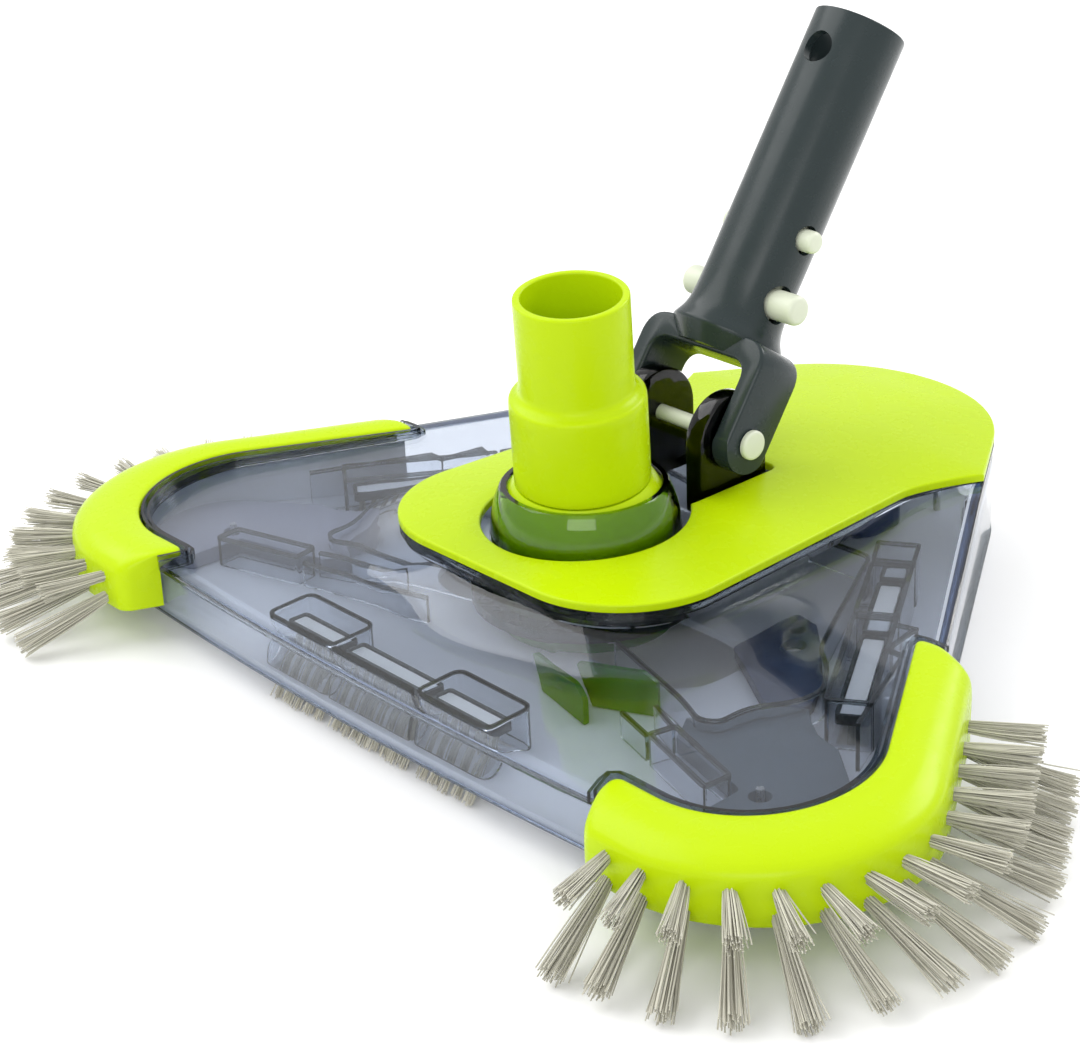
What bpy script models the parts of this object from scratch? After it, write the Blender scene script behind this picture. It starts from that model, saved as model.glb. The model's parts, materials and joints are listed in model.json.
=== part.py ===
"""Manual vacuum head for a pool: smoked hood, lime cover and bumpers, ball-jointed hose cuff, pole handle.

Lengths are metres, +Z is up, the flat brushed edge faces -Y and the nose points to +Y.
Every solid is drawn around the hose axis at the hood's lower edge, and hangs under one datum empty
that lifts it off the floor and centres the whole head on the origin.
"""
import math

import bmesh
import bpy
from mathutils import Matrix, Vector

# ---- datum ----
FLOOR_GAP = 0.0080          # hood's lower edge above the floor
HOSE_Y = -0.0145            # hose axis in the part's own frame
GAP = 0.0003                # clearance between neighbouring pieces

# ---- hood outline, seen from above ----
SIDE_ANGLE = math.radians(33.9)
SIDE_NORMAL = Vector((math.cos(SIDE_ANGLE), math.sin(SIDE_ANGLE)))
SIDE_RUN = Vector((-SIDE_NORMAL.y, SIDE_NORMAL.x))
WING_CENTRE = Vector((0.1065, -0.0410))
WING_R = 0.0403
FRONT_BOW = 0.0037
NOSE_CENTRE = Vector((0.0, 0.0955))
SIDE_OFFSET = SIDE_NORMAL.dot(WING_CENTRE) + WING_R
NOSE_R = SIDE_OFFSET - SIDE_NORMAL.dot(NOSE_CENTRE)
FRONT_Y = WING_CENTRE.y - WING_R
SKIN_T = 0.0024
FRONT_STEPS = 5             # points along each stretch of the outline
WING_STEPS = 8
SIDE_STEPS = (0.0, 0.2, 0.42, 0.62, 0.78, 0.85, 0.92, 1.0)
NOSE_STEPS = 7

# ---- heights of the hood's top ----
EDGE_FRONT_Z = 0.0158
EDGE_Z0 = 0.0215
EDGE_SLOPE = 0.098
EDGE_MAX_Z = 0.0306
FOOT_Z = 0.0268
DECK_Z = 0.0312

# ---- lime cover outline ----
COVER_FRONT_Y = -0.0388
COVER_FRONT_HALF = 0.0310
COVER_CORNER_R = 0.0250
COVER_WAIST = 0.0500
COVER_WAIST_Y = 0.0760
JOIN_Y = 0.1010             # where the cover's edge meets the side wall
COVER_LIP = 0.0012
COVER_EDGE_Z = 0.0338
COVER_T = 0.0022
CROWN = 0.0046

# ---- base plate, brush sleeves (half length, half width) and flow guide ----
BASE_LOW = 0.0008
BASE_HIGH = 0.0032
POCKET_WALL = 0.0014
FRONT_POCKET = (0.0475, 0.0080)
FRONT_POCKET_Y = -0.0705
SIDE_POCKET = (0.0480, 0.0060)
SIDE_POCKET_DEPTH = 0.0215
SIDE_POCKET_RUN = -0.0163
VANES = (((0.0205, -0.0290), (0.052, -0.047)), ((0.0320, -0.0165), (0.064, -0.036)))

# ---- ball joint and hose cuff ----
BALL_Z = 0.0327
SOCKET_R = 0.0250
SOCKET_OUT_R = 0.0270
RIM_H = 0.0125
SOCKET_FOOT_Z = 0.0140
BALL_R = 0.0246
BALL_TOP_H = 0.0153
BALL_FOOT_H = -0.0150
BALL_BORE_R = 0.0169
STEM_R = 0.0166
CUFF_LOW_R = 0.0192
CUFF_TOP_R = 0.0160
CUFF_BORE_R = 0.0138
STEP_H = 0.0422
CUFF_TOP_H = 0.0714
CUFF_AXIS = Vector((0.068, -0.093, 1.0)).normalized()
COVER_HOLE_R = 0.0297
RETAINER_SCREW_R = 0.0292
RETAINER_T = 0.0032

# ---- clevis and handle ----
HINGE = Vector((0.0, 0.0413, 0.0512))
HANDLE_LEAN = math.radians(34.9)
LUG_R = 0.0132
LUG_IN = 0.0115
LUG_OUT = 0.0178
PIN_R = 0.0023
PIN_HOLE_R = 0.0026
PIN_HEAD_R = 0.0043
YOKE_IN = 0.0182
YOKE_OUT = 0.0242
YOKE_DEPTH = 0.0090
YOKE_TOP = 0.0270
YOKE_UNDER = 0.0200
TUBE_R = 0.01385
TUBE_BORE_R = 0.0113
TUBE_END = 0.1244
LOCK_S = 0.0600
FINGER_S = 0.0400
CLIP_BEND_S = 0.0920
POLE_HOLE_S = 0.1120
CLIP_IN = 0.0079
CLIP_OUT = 0.0095
CLIP_HALF = 0.0035
CLIP_FOOT_S = 0.0340
BUTTONS = (("lock", LOCK_S, 0.00325, 0.0176), ("finger", FINGER_S, 0.0044, 0.0220))

# ---- bumpers and tufts ----
BUMPER_IN = (Vector((0.1070, -0.0420)), 0.0330)
BUMPER_WALL = (WING_CENTRE, WING_R + 0.0004)
BUMPER_OUT = (Vector((0.1125, -0.0467)), 0.0470)
BUMPER_TIP_X = (0.0920, 0.1000)
BUMPER_TIP_RUN = (-0.0403, -0.0519)
BUMPER_Z0 = 0.0253
BUMPER_SLOPE = 0.0586
BUMPER_STEPS = 10
BUMPER_SCREW_Z = 0.0094
BUMPER_SCREW_ANGLES = (-60.0, 10.0)
LOWER_GROOVE = (0.0030, 0.0078)      # open below: its foot is the bumper's own
UPPER_GROOVE = (0.0104, 0.0142)
GROOVE_DEPTH = 0.0056
TUFTS_PER_ROW = 14
TUFT_FAN = (math.radians(-74.0), math.radians(35.0))

COLOURS = {
    "smoke": ((0.30, 0.34, 0.40), 0.08), "lime": ((0.62, 0.90, 0.02), 0.30),
    "charcoal": ((0.055, 0.070, 0.075), 0.28), "nylon": ((0.90, 0.93, 0.84), 0.40),
    "bristle": ((0.52, 0.52, 0.45), 0.70), "steel": ((0.55, 0.56, 0.58), 0.30),
    "weight": ((0.10, 0.14, 0.22), 0.45),
}


# ---------------------------------------------------------------- scene helpers
def clear_scene():
    for thing in list(bpy.data.objects):
        bpy.data.objects.remove(thing, do_unlink=True)


def new_collection(name):
    group = bpy.data.collections.new(name)
    bpy.context.scene.collection.children.link(group)
    return group


def material(kind):
    found = bpy.data.materials.get(kind)
    if found:
        return found
    colour, roughness = COLOURS[kind]
    made = bpy.data.materials.new(kind)
    made.use_nodes = True
    shader = made.node_tree.nodes["Principled BSDF"]
    shader.inputs["Base Color"].default_value = (*colour, 1.0)
    shader.inputs["Roughness"].default_value = roughness
    shader.inputs["Metallic"].default_value = 1.0 if kind == "steel" else 0.0
    shader.inputs["Transmission Weight"].default_value = 0.8 if kind == "smoke" else 0.0
    return made


def place(name, mesh, kind, group, parent):
    """Link a mesh as one part of the head, or as a cutter when kind is None."""
    item = bpy.data.objects.new(name, mesh)
    group.objects.link(item)
    item.parent = parent
    if kind is None:
        item.hide_render = True
        item.display_type = "WIRE"
        return item
    mesh.materials.append(material(kind))
    mesh.shade_smooth()
    mesh.set_sharp_from_angle(angle=math.radians(35.0))
    return item


def from_bmesh(name, bm):
    bmesh.ops.remove_doubles(bm, verts=bm.verts, dist=1e-6)
    bmesh.ops.recalc_face_normals(bm, faces=bm.faces)
    mesh = bpy.data.meshes.new(name)
    bm.to_mesh(mesh)
    bm.free()
    return mesh


def boolean(item, other, how):
    cut = item.modifiers.new(other.name, "BOOLEAN")
    cut.operation = how
    cut.solver = "EXACT"
    cut.object = other


# ---------------------------------------------------------------- shape makers
def loft(name, rings, caps=True):
    """Skin a list of equal rings; without caps the end rings fold flat on their own ridge."""
    bm = bmesh.new()
    rows = [[bm.verts.new(point) for point in ring] for ring in rings]
    for low, high in zip(rows, rows[1:]):
        for i in range(len(low)):
            j = (i + 1) % len(low)
            bm.faces.new((low[i], low[j], high[j], high[i]))
    if caps:
        bm.faces.new(rows[0][::-1])
        bm.faces.new(rows[-1])
    return from_bmesh(name, bm)


def flat_piece(name, outline, low, high):
    """Extrude a flat outline from low to high along its own Z."""
    curve = bpy.data.curves.new(name, "CURVE")
    curve.dimensions = "2D"
    curve.fill_mode = "BOTH"
    curve.extrude = (high - low) / 2
    spline = curve.splines.new("POLY")
    spline.points.add(len(outline) - 1)
    for knot, point in zip(spline.points, outline):
        knot.co = (point[0], point[1], 0.0, 1.0)
    spline.use_cyclic_u = True
    holder = bpy.data.objects.new(name, curve)
    bpy.context.scene.collection.objects.link(holder)
    shape = holder.evaluated_get(bpy.context.evaluated_depsgraph_get())
    mesh = bpy.data.meshes.new_from_object(shape)
    bpy.data.objects.remove(holder)
    bm = bmesh.new()
    bm.from_mesh(mesh)
    bmesh.ops.translate(bm, verts=bm.verts, vec=(0, 0, (high + low) / 2))
    return from_bmesh(name, bm)


def turned(name, profile, steps=32):
    """Turn a closed (radius, height) profile about Z; it runs down its outer side first."""
    bm = bmesh.new()
    rows = []
    for k in range(steps):
        turn = Matrix.Rotation(2 * math.pi * k / steps, 3, "Z")
        rows.append([bm.verts.new(turn @ Vector((r, 0, z))) for r, z in profile])
    for k in range(steps):
        here, there = rows[k], rows[(k + 1) % steps]
        for i in range(len(profile)):
            j = (i + 1) % len(profile)
            corners = [here[i], here[j], there[j], there[i]]
            if profile[i][0] == 0 and profile[j][0] == 0:
                continue
            bm.faces.new(corners)
    return from_bmesh(name, bm)


def cylinder(name, radius, low, high, steps=20):
    bm = bmesh.new()
    bmesh.ops.create_cone(bm, cap_ends=True, segments=steps, radius1=radius, radius2=radius,
                          depth=high - low, matrix=Matrix.Translation((0, 0, (high + low) / 2)))
    return from_bmesh(name, bm)


def block(name, low, high):
    bm = bmesh.new()
    bmesh.ops.create_cube(bm, size=1.0)
    size = Vector(high) - Vector(low)
    bmesh.ops.scale(bm, verts=bm.verts, vec=size)
    bmesh.ops.translate(bm, verts=bm.verts, vec=Vector(low) + size / 2)
    return from_bmesh(name, bm)


def arc(centre, radius, start, stop, count):
    """Points on an arc, angles in degrees, both ends included."""
    angles = [math.radians(start + (stop - start) * k / count) for k in range(count + 1)]
    return [Vector((centre[0] + radius * math.cos(a), centre[1] + radius * math.sin(a)))
            for a in angles]


def rounded_rect(half_x, half_y, radius, count=4):
    x, y = half_x - radius, half_y - radius
    return (arc((x, -y), radius, -90, 0, count) + arc((x, y), radius, 0, 90, count)
            + arc((-x, y), radius, 90, 180, count) + arc((-x, -y), radius, 180, 270, count))


def aim(item, origin, along, across=None):
    """Put an object's own Z along a direction, with its X as near to across as it can be."""
    z = Vector(along).normalized()
    x = Vector(across if across is not None else (1, 0, 0))
    x = (x - z * x.dot(z)).normalized()
    frame = Matrix((x, z.cross(x), z)).transposed()
    item.rotation_euler = frame.to_euler()
    item.location = origin
    return item


# ---------------------------------------------------------------- outlines of the hood and cover
def edge_z(y):
    return min(max(EDGE_FRONT_Z, EDGE_Z0 + EDGE_SLOPE * y), EDGE_MAX_Z)


def front_y(x):
    return FRONT_Y - FRONT_BOW * (1.0 - (x / WING_CENTRE.x) ** 2)


def nose_half(inset):
    radius = NOSE_R - inset
    return arc(NOSE_CENTRE, radius, math.degrees(SIDE_ANGLE), 90.0, NOSE_STEPS)


def hood_half(inset):
    """Right half of the hood's outline, from the front centre round to the nose."""
    xs = [WING_CENTRE.x * k / FRONT_STEPS for k in range(FRONT_STEPS)]
    points = [Vector((x, front_y(x) + inset)) for x in xs]
    points += arc(WING_CENTRE, WING_R - inset, -90.0, math.degrees(SIDE_ANGLE), WING_STEPS)
    start = points[-1].copy()
    stop_run = (JOIN_Y - SIDE_OFFSET * SIDE_NORMAL.y) / SIDE_RUN.y
    stop = SIDE_NORMAL * (SIDE_OFFSET - inset) + SIDE_RUN * stop_run
    points += [start.lerp(stop, f) for f in SIDE_STEPS[1:]]
    return points + nose_half(inset)


def cover_half(outset, nose_inset):
    """Right half of the cover's outline, point for point with hood_half."""
    corner = Vector((COVER_FRONT_HALF, COVER_FRONT_Y + COVER_CORNER_R))
    radius = COVER_CORNER_R + outset
    xs = [corner.x * k / FRONT_STEPS for k in range(FRONT_STEPS)]
    points = [Vector((x, corner.y - radius)) for x in xs]
    points += arc(corner, radius, -90.0, 0.0, WING_STEPS)
    join_x = (SIDE_OFFSET - nose_inset - SIDE_NORMAL.y * JOIN_Y) / SIDE_NORMAL.x
    shoulder = corner.x + COVER_CORNER_R
    for f in SIDE_STEPS[1:]:
        y = corner.y + (JOIN_Y - corner.y) * f
        if y <= COVER_WAIST_Y:
            part = (y - corner.y) / (COVER_WAIST_Y - corner.y)
            x = shoulder + (COVER_WAIST - shoulder) * part + outset
        else:
            part = (y - COVER_WAIST_Y) / (JOIN_Y - COVER_WAIST_Y)
            x = COVER_WAIST + outset + (join_x - COVER_WAIST - outset) * part ** 1.5
        points.append(Vector((x, y)))
    return points + nose_half(nose_inset)


def mirror_ring(half, heights):
    """Close a right half, given a height for each of its points, into a full ring."""
    right = [Vector((p.x, p.y, z)) for p, z in zip(half, heights)]
    right[-1].x = 0.0
    left = [Vector((-p.x, p.y, p.z)) for p in reversed(right[1:-1])]
    return right + left


def deck_half(inset=0.0):
    return cover_half(-inset, 0.0020 + inset)


# ---------------------------------------------------------------- hood, base and cover
def hood_rings():
    outer = hood_half(0.0)
    rim = [edge_z(p.y) for p in outer]
    foot = [max(FOOT_Z, z + GAP) for z in rim]
    flat = [DECK_Z] * len(outer)
    under = [z - SKIN_T for z in rim]
    inner_foot = [z - SKIN_T for z in foot]
    soften = 0.0010
    return [
        mirror_ring(deck_half(), flat),
        mirror_ring(deck_half(), foot),
        mirror_ring(hood_half(soften), rim),
        mirror_ring(outer, [z - soften for z in rim]),
        mirror_ring(outer, [0.0] * len(outer)),
        mirror_ring(hood_half(SKIN_T), [0.0] * len(outer)),
        mirror_ring(hood_half(SKIN_T), under),
        mirror_ring(deck_half(SKIN_T), inner_foot),
        mirror_ring(deck_half(SKIN_T), [DECK_Z - SKIN_T] * len(outer)),
    ]


def socket_profile():
    """Closed profile of the socket's wall about the hose axis, heights from the ball's centre."""
    foot = SOCKET_FOOT_Z - BALL_Z
    rim_out = math.acos(RIM_H / SOCKET_OUT_R)
    rim_in = math.acos(RIM_H / SOCKET_R)
    steps = 5
    outer = []
    inner = []
    for k in range(steps + 1):
        a = rim_out + (math.pi / 2 - rim_out) * k / steps
        outer.append((SOCKET_OUT_R * math.sin(a), SOCKET_OUT_R * math.cos(a)))
        b = math.pi / 2 + (rim_in - math.pi / 2) * k / steps
        inner.append((SOCKET_R * math.sin(b), SOCKET_R * math.cos(b)))
    return outer + [(SOCKET_OUT_R, foot), (SOCKET_R, foot)] + inner


def boss_places():
    return [(0.1120, -0.0450, 0.0186), (-0.1120, -0.0450, 0.0186),
            (0.0240, 0.1230, 0.0300), (-0.0240, 0.1230, 0.0300)]


def lug_outline():
    """Clevis lug in (Y, Z): a round top about the hinge on straight flanks."""
    low = DECK_Z - 0.0012
    round_top = arc((HINGE.y, HINGE.z), LUG_R, 0, 180, 12)
    return [Vector((HINGE.y - LUG_R, low)), Vector((HINGE.y + LUG_R, low))] + round_top


def make_hood(group, cutters, datum):
    hood = place("smoked_hood", loft("smoked_hood", hood_rings()), "smoke", group, datum)
    well = place("socket_well", cylinder("socket_well", 0.0260, 0.020, 0.036, 32), None, cutters, datum)
    boolean(hood, well, "DIFFERENCE")
    socket = place("socket_wall", turned("socket_wall", socket_profile()), None, cutters, datum)
    socket.location.z = BALL_Z
    boolean(hood, socket, "UNION")
    for side in (1, -1):
        name = f"lug_{'right' if side > 0 else 'left'}"
        low, high = sorted((side * LUG_IN, side * LUG_OUT))
        lug = place(name, flat_piece(name, lug_outline(), low, high), None, cutters, datum)
        aim(lug, (0, 0, 0), (1, 0, 0), (0, 1, 0))
        boolean(hood, lug, "UNION")
    pin_cut = cylinder("pin_cut", PIN_HOLE_R, -YOKE_IN, YOKE_IN, 16)
    pin_cut = place("pin_cut", pin_cut, None, cutters, datum)
    aim(pin_cut, HINGE, (1, 0, 0), (0, 1, 0))
    boolean(hood, pin_cut, "DIFFERENCE")
    for number, (x, y, top) in enumerate(boss_places()):
        boss = place(f"boss_{number}", cylinder("boss", 0.0040, 0.0038, top, 12), None, cutters, datum)
        boss.location.xy = x, y
        boolean(hood, boss, "UNION")
        pilot = place(f"pilot_{number}", cylinder("pilot", 0.0014, 0.0, 0.0130, 8), None, cutters, datum)
        pilot.location.xy = x, y
        boolean(hood, pilot, "DIFFERENCE")
    return hood


def side_pocket(name, half_long, half_wide, low, high, side):
    """Box along a side wall: its centre and run are the side brush pocket's."""
    middle = SIDE_NORMAL * (SIDE_OFFSET - SIDE_POCKET_DEPTH) + SIDE_RUN * SIDE_POCKET_RUN
    item = block(name, (-half_long, -half_wide, low), (half_long, half_wide, high))
    turn = Matrix.Rotation(math.atan2(SIDE_RUN.y, side * SIDE_RUN.x), 4, "Z")
    item.transform(Matrix.Translation((side * middle.x, middle.y, 0)) @ turn)
    return item


def front_pocket(name, half_long, half_wide, low, high):
    return block(name, (-half_long, FRONT_POCKET_Y - half_wide, low),
                 (half_long, FRONT_POCKET_Y + half_wide, high))


def make_base(group, cutters, datum):
    """Base plate with the suction mouth and the three sleeves that hold the brush strips."""
    ring = hood_half(SKIN_T + GAP)
    outline = ring + [Vector((-p.x, p.y)) for p in reversed(ring[1:-1])]
    base = place("base_plate", flat_piece("base_plate", outline, BASE_LOW, BASE_HIGH), "smoke", group, datum)
    sleeves = [("front", front_pocket, (*FRONT_POCKET, BASE_HIGH - 0.001, 0.0125), ())]
    sleeves += [(f"side_{'r' if s > 0 else 'l'}", side_pocket,
                 (*SIDE_POCKET, BASE_HIGH - 0.001, 0.0160), (s,)) for s in (1, -1)]
    for name, maker, (long, wide, low, high), rest in sleeves:
        wall = place(f"sleeve_{name}", maker("sleeve", long, wide, low, high, *rest), None, cutters, datum)
        boolean(base, wall, "UNION")
        t = POCKET_WALL
        hole = maker("sleeve_cut", long - t, wide - t, -0.001, high + 0.001, *rest)
        boolean(base, place(f"sleeve_cut_{name}", hole, None, cutters, datum), "DIFFERENCE")
    mouth = flat_piece("mouth", rounded_rect(0.0550, 0.0180, 0.0170), -0.001, 0.005)
    boolean(base, place("mouth", mouth, None, cutters, datum), "DIFFERENCE")
    for number, (x, y, _) in enumerate(boss_places()):
        hole = place(f"base_hole_{number}", cylinder("base_hole", 0.0015, -0.001, 0.005, 8),
                     None, cutters, datum)
        hole.location.xy = x, y
        boolean(base, hole, "DIFFERENCE")
    return base


def cover_crown(y):
    """Height of the cover's centre line above its edge."""
    rise = math.sin(math.pi * min(max((y - COVER_FRONT_Y) / 0.187, 0.0), 1.0))
    return CROWN * rise ** 0.8


def cover_rings():
    """Closed rings from the top ridge out over the edge and back to the underside's ridge."""
    outer = cover_half(COVER_LIP, -GAP)
    edge = cover_half(COVER_LIP - 0.0008, 0.0006)
    spine_y = [min(max(p.y, -0.0250), 0.1300) for p in outer]
    rings = []
    for fraction in (1.0, 0.75, 0.5, 0.25, 0.06):
        rings.append(cover_ring(edge, spine_y, fraction, COVER_EDGE_Z))
    rings.append(mirror_ring(outer, [COVER_EDGE_Z - 0.0007] * len(outer)))
    rings.append(mirror_ring(outer, [DECK_Z + GAP] * len(outer)))
    inner = cover_half(-0.0010, 0.0025)
    rings.append(mirror_ring(inner, [DECK_Z + GAP] * len(inner)))
    for fraction in (0.25, 0.5, 0.75, 1.0):
        rings.append(cover_ring(inner, spine_y, fraction, COVER_EDGE_Z - COVER_T))
    return rings


def cover_ring(edge, spine_y, fraction, base_z):
    points = []
    heights = []
    for p, y in zip(edge, spine_y):
        points.append(p.lerp(Vector((0.0, y)), fraction))
        heights.append(base_z + cover_crown(points[-1].y) * (1.0 - (1.0 - fraction) ** 2))
    return mirror_ring(points, heights)


def make_cover(group, cutters, datum):
    cover = place("top_cover", loft("top_cover", cover_rings(), caps=False), "lime", group, datum)
    hole = place("ball_hole", cylinder("ball_hole", COVER_HOLE_R, 0.02, 0.05, 40), None, cutters, datum)
    boolean(cover, hole, "DIFFERENCE")
    notch = block("lug_notch", (-0.0192, 0.0200, 0.02), (0.0192, 0.0572, 0.06))
    boolean(cover, place("lug_notch", notch, None, cutters, datum), "DIFFERENCE")
    return cover


# ---------------------------------------------------------------- bumpers and brushes
def band_line(centre, radius, tip_x, tip_run):
    """One long edge of a right bumper: front tip, corner arc, far tip."""
    points = [Vector((tip_x, centre.y - radius))]
    points += arc(centre, radius, -90.0, math.degrees(SIDE_ANGLE), BUMPER_STEPS)
    reach = SIDE_NORMAL.dot(centre) + radius
    start_run = SIDE_RUN.dot(centre)
    for f in (0.5, 1.0):
        points.append(SIDE_NORMAL * reach + SIDE_RUN * (start_run + (tip_run - start_run) * f))
    return points


def bumper_lines():
    inner = band_line(*BUMPER_IN, BUMPER_TIP_X[0], BUMPER_TIP_RUN[0])
    outer = band_line(*BUMPER_OUT, BUMPER_TIP_X[1], BUMPER_TIP_RUN[1])
    wall = band_line(*BUMPER_WALL, 0.0, 0.0)
    first, last = wall[0], wall[-1]
    first.x = inner[0].x + (outer[0].x - inner[0].x) * (first.y - inner[0].y) / (outer[0].y - inner[0].y)
    first.y = front_y(first.x) - (BUMPER_WALL[1] - WING_R)
    depth = SIDE_NORMAL.dot(last)
    span = SIDE_NORMAL.dot(outer[-1]) - SIDE_NORMAL.dot(inner[-1])
    part = (depth - SIDE_NORMAL.dot(inner[-1])) / span
    last.xy = inner[-1].lerp(outer[-1], part)
    wall[-2].xy = wall[-3].lerp(last, 0.5)
    return inner, wall, outer


def bumper_top(y):
    return BUMPER_Z0 + BUMPER_SLOPE * y


def line_normals(line):
    """Outward normal of a plan line at each of its points."""
    runs = [(b - a).normalized() for a, b in zip(line, line[1:])]
    means = [(a + b).normalized() for a, b in zip([runs[0]] + runs, runs + [runs[-1]])]
    return [Vector((run.y, -run.x)) for run in means]


def bumper_section(inner, wall, outer, out):
    """Closed section of the band at one station, inner top edge first."""
    top = bumper_top((inner.y + outer.y) / 2)
    across = (outer - inner).normalized()
    rim = edge_z(wall.y)
    skin = rim + (0.0023 if wall.y < -0.070 else 0.0012)
    groove = outer - across * (GROOVE_DEPTH / across.dot(out))
    flat = [
        (inner, top - 0.0010), (inner + across * 0.0010, top), (outer - across * 0.0045, top - 0.0012),
        (outer - across * 0.0014, top - 0.0024), (outer, top - 0.0050),
        (outer, UPPER_GROOVE[1]), (groove, UPPER_GROOVE[1]),
        (groove, UPPER_GROOVE[0]), (outer, UPPER_GROOVE[0]),
        (outer, LOWER_GROOVE[1]), (groove, LOWER_GROOVE[1]),
        (groove, LOWER_GROOVE[0]), (wall, LOWER_GROOVE[0]), (wall, rim + GAP), (inner, skin + GAP),
    ]
    return [Vector((p.x, p.y, z)) for p, z in flat]


def mirror_mesh(mesh):
    mesh.transform(Matrix.Scale(-1.0, 4, (1, 0, 0)))
    mesh.flip_normals()
    return mesh


def make_bumper(side, group, datum):
    name = f"bumper_{side}"
    lines = bumper_lines()
    mesh = loft(name, [bumper_section(*spot) for spot in zip(*lines, line_normals(lines[2]))])
    if side == "left":
        mirror_mesh(mesh)
    return place(name, mesh, "lime", group, datum)


def walk(line, distance):
    """Point and outward normal at a distance along a plan line."""
    for a, b in zip(line, line[1:]):
        step = (b - a).length
        if distance <= step:
            run = (b - a).normalized()
            return a + run * distance, Vector((run.y, -run.x))
        distance -= step
    return line[-1].copy(), Vector((run.y, -run.x))


def comb_strip(name, groove):
    """Strip that lies in a bumper groove and holds one row of tufts."""
    line = bumper_lines()[2]
    low, high = groove[0] + GAP, groove[1] - GAP
    length = sum((b - a).length for a, b in zip(line, line[1:]))
    stations = [walk(line, length * (0.03 + 0.94 * k / 16)) for k in range(17)]
    rings = []
    for spot, out in stations:
        back, face = spot - out * (GROOVE_DEPTH - 0.0006), spot - out * 0.0012
        corners = ((back, low), (face, low), (face, high), (back, high))
        rings.append([Vector((p.x, p.y, z)) for p, z in corners])
    return loft(name, rings)


def tuft_field(name, root_z, reach, drop, tip_r):
    """The row's tufts as tapered rods, fanned from the flat edge round to the side."""
    line = bumper_lines()[2]
    length = sum((b - a).length for a, b in zip(line, line[1:]))
    bm = bmesh.new()
    for k in range(TUFTS_PER_ROW):
        part = k / (TUFTS_PER_ROW - 1)
        spot, out = walk(line, length * (0.055 + 0.89 * part))
        normal = math.atan2(out.y, out.x)
        share = (normal + math.pi / 2) / (SIDE_ANGLE + math.pi / 2)
        turn = TUFT_FAN[0] + (TUFT_FAN[1] - TUFT_FAN[0]) * share
        heading = Vector((math.cos(turn), math.sin(turn)))
        root = Vector((*(spot - out * 0.0022), root_z))
        tip = root + Vector((*(heading * reach), -drop))
        along = (tip - root).normalized()
        side = along.cross(Vector((0, 0, 1))).normalized()
        frame = Matrix((side, along.cross(side), along)).transposed().to_4x4()
        frame.translation = (root + tip) / 2
        bmesh.ops.create_cone(bm, cap_ends=True, segments=6, radius1=0.0014, radius2=tip_r,
                              depth=(tip - root).length, matrix=frame)
    return from_bmesh(name, bm)


def make_comb(side, row, group, cutters, datum):
    name = f"brush_row_{side}_{row}"
    groove = UPPER_GROOVE if row == "upper" else LOWER_GROOVE
    middle = (groove[0] + groove[1]) / 2
    strip = comb_strip(name, groove)
    if row == "upper":
        tufts = tuft_field(name + "_tufts", middle, 0.0200, 0.0008, 0.0027)
    else:
        tufts = tuft_field(name + "_tufts", middle, 0.0275, 0.0100, 0.0034)
    if side == "left":
        mirror_mesh(strip)
        mirror_mesh(tufts)
    comb = place(name, strip, "bristle", group, datum)
    boolean(comb, place(name + "_tufts", tufts, None, cutters, datum), "UNION")
    return comb


def make_floor_brush(name, maker, pocket, rest, group, datum):
    """A holder that fills its sleeve and a block of bristles that reaches the floor."""
    long, wide = pocket[0] - POCKET_WALL - GAP, pocket[1] - POCKET_WALL - GAP
    holder = maker(name + "_holder", long, wide, 0.0012, 0.0090, *rest)
    place(name + "_holder", holder, "charcoal", group, datum)
    bristles = maker(name + "_bristles", long - 0.002, wide * 0.55, -FLOOR_GAP, 0.0012 - GAP, *rest)
    place(name + "_bristles", bristles, "bristle", group, datum)


# ---------------------------------------------------------------- weights and flow guide
def wing_weight_outline():
    """Right wing weight, seen from above, clear of the brush sleeves."""
    tip = arc((0.1120, -0.0460), 0.0240, -90, 34, 6)
    back = ((0.1180, -0.0190), (0.1090, -0.0120), (0.0990, -0.0130), (0.0900, -0.0060),
            (0.0800, -0.0140), (0.0770, -0.0260), (0.0690, -0.0310))
    return [Vector((0.0700, -0.0640))] + tip + [Vector(point) for point in back]


def make_weights(group, cutters, datum):
    low, high = BASE_HIGH + GAP, BASE_HIGH + 0.0050
    for side in (1, -1):
        name = f"wing_weight_{'right' if side > 0 else 'left'}"
        outline = [Vector((side * p.x, p.y)) for p in wing_weight_outline()]
        weight = place(name, flat_piece(name, outline, low, high), "weight", group, datum)
        x, y, _ = boss_places()[0]
        relief = place(name + "_relief", cylinder("relief", 0.0046, 0.0, 0.02, 12), None, cutters, datum)
        relief.location.xy = side * x, y
        boolean(weight, relief, "DIFFERENCE")
    nose = flat_piece("nose_weight", [Vector((p.x, p.y + 0.098)) for p in rounded_rect(0.024, 0.013, 0.008)],
                      low, high + 0.004)
    place("nose_weight", nose, "weight", group, datum)


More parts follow.
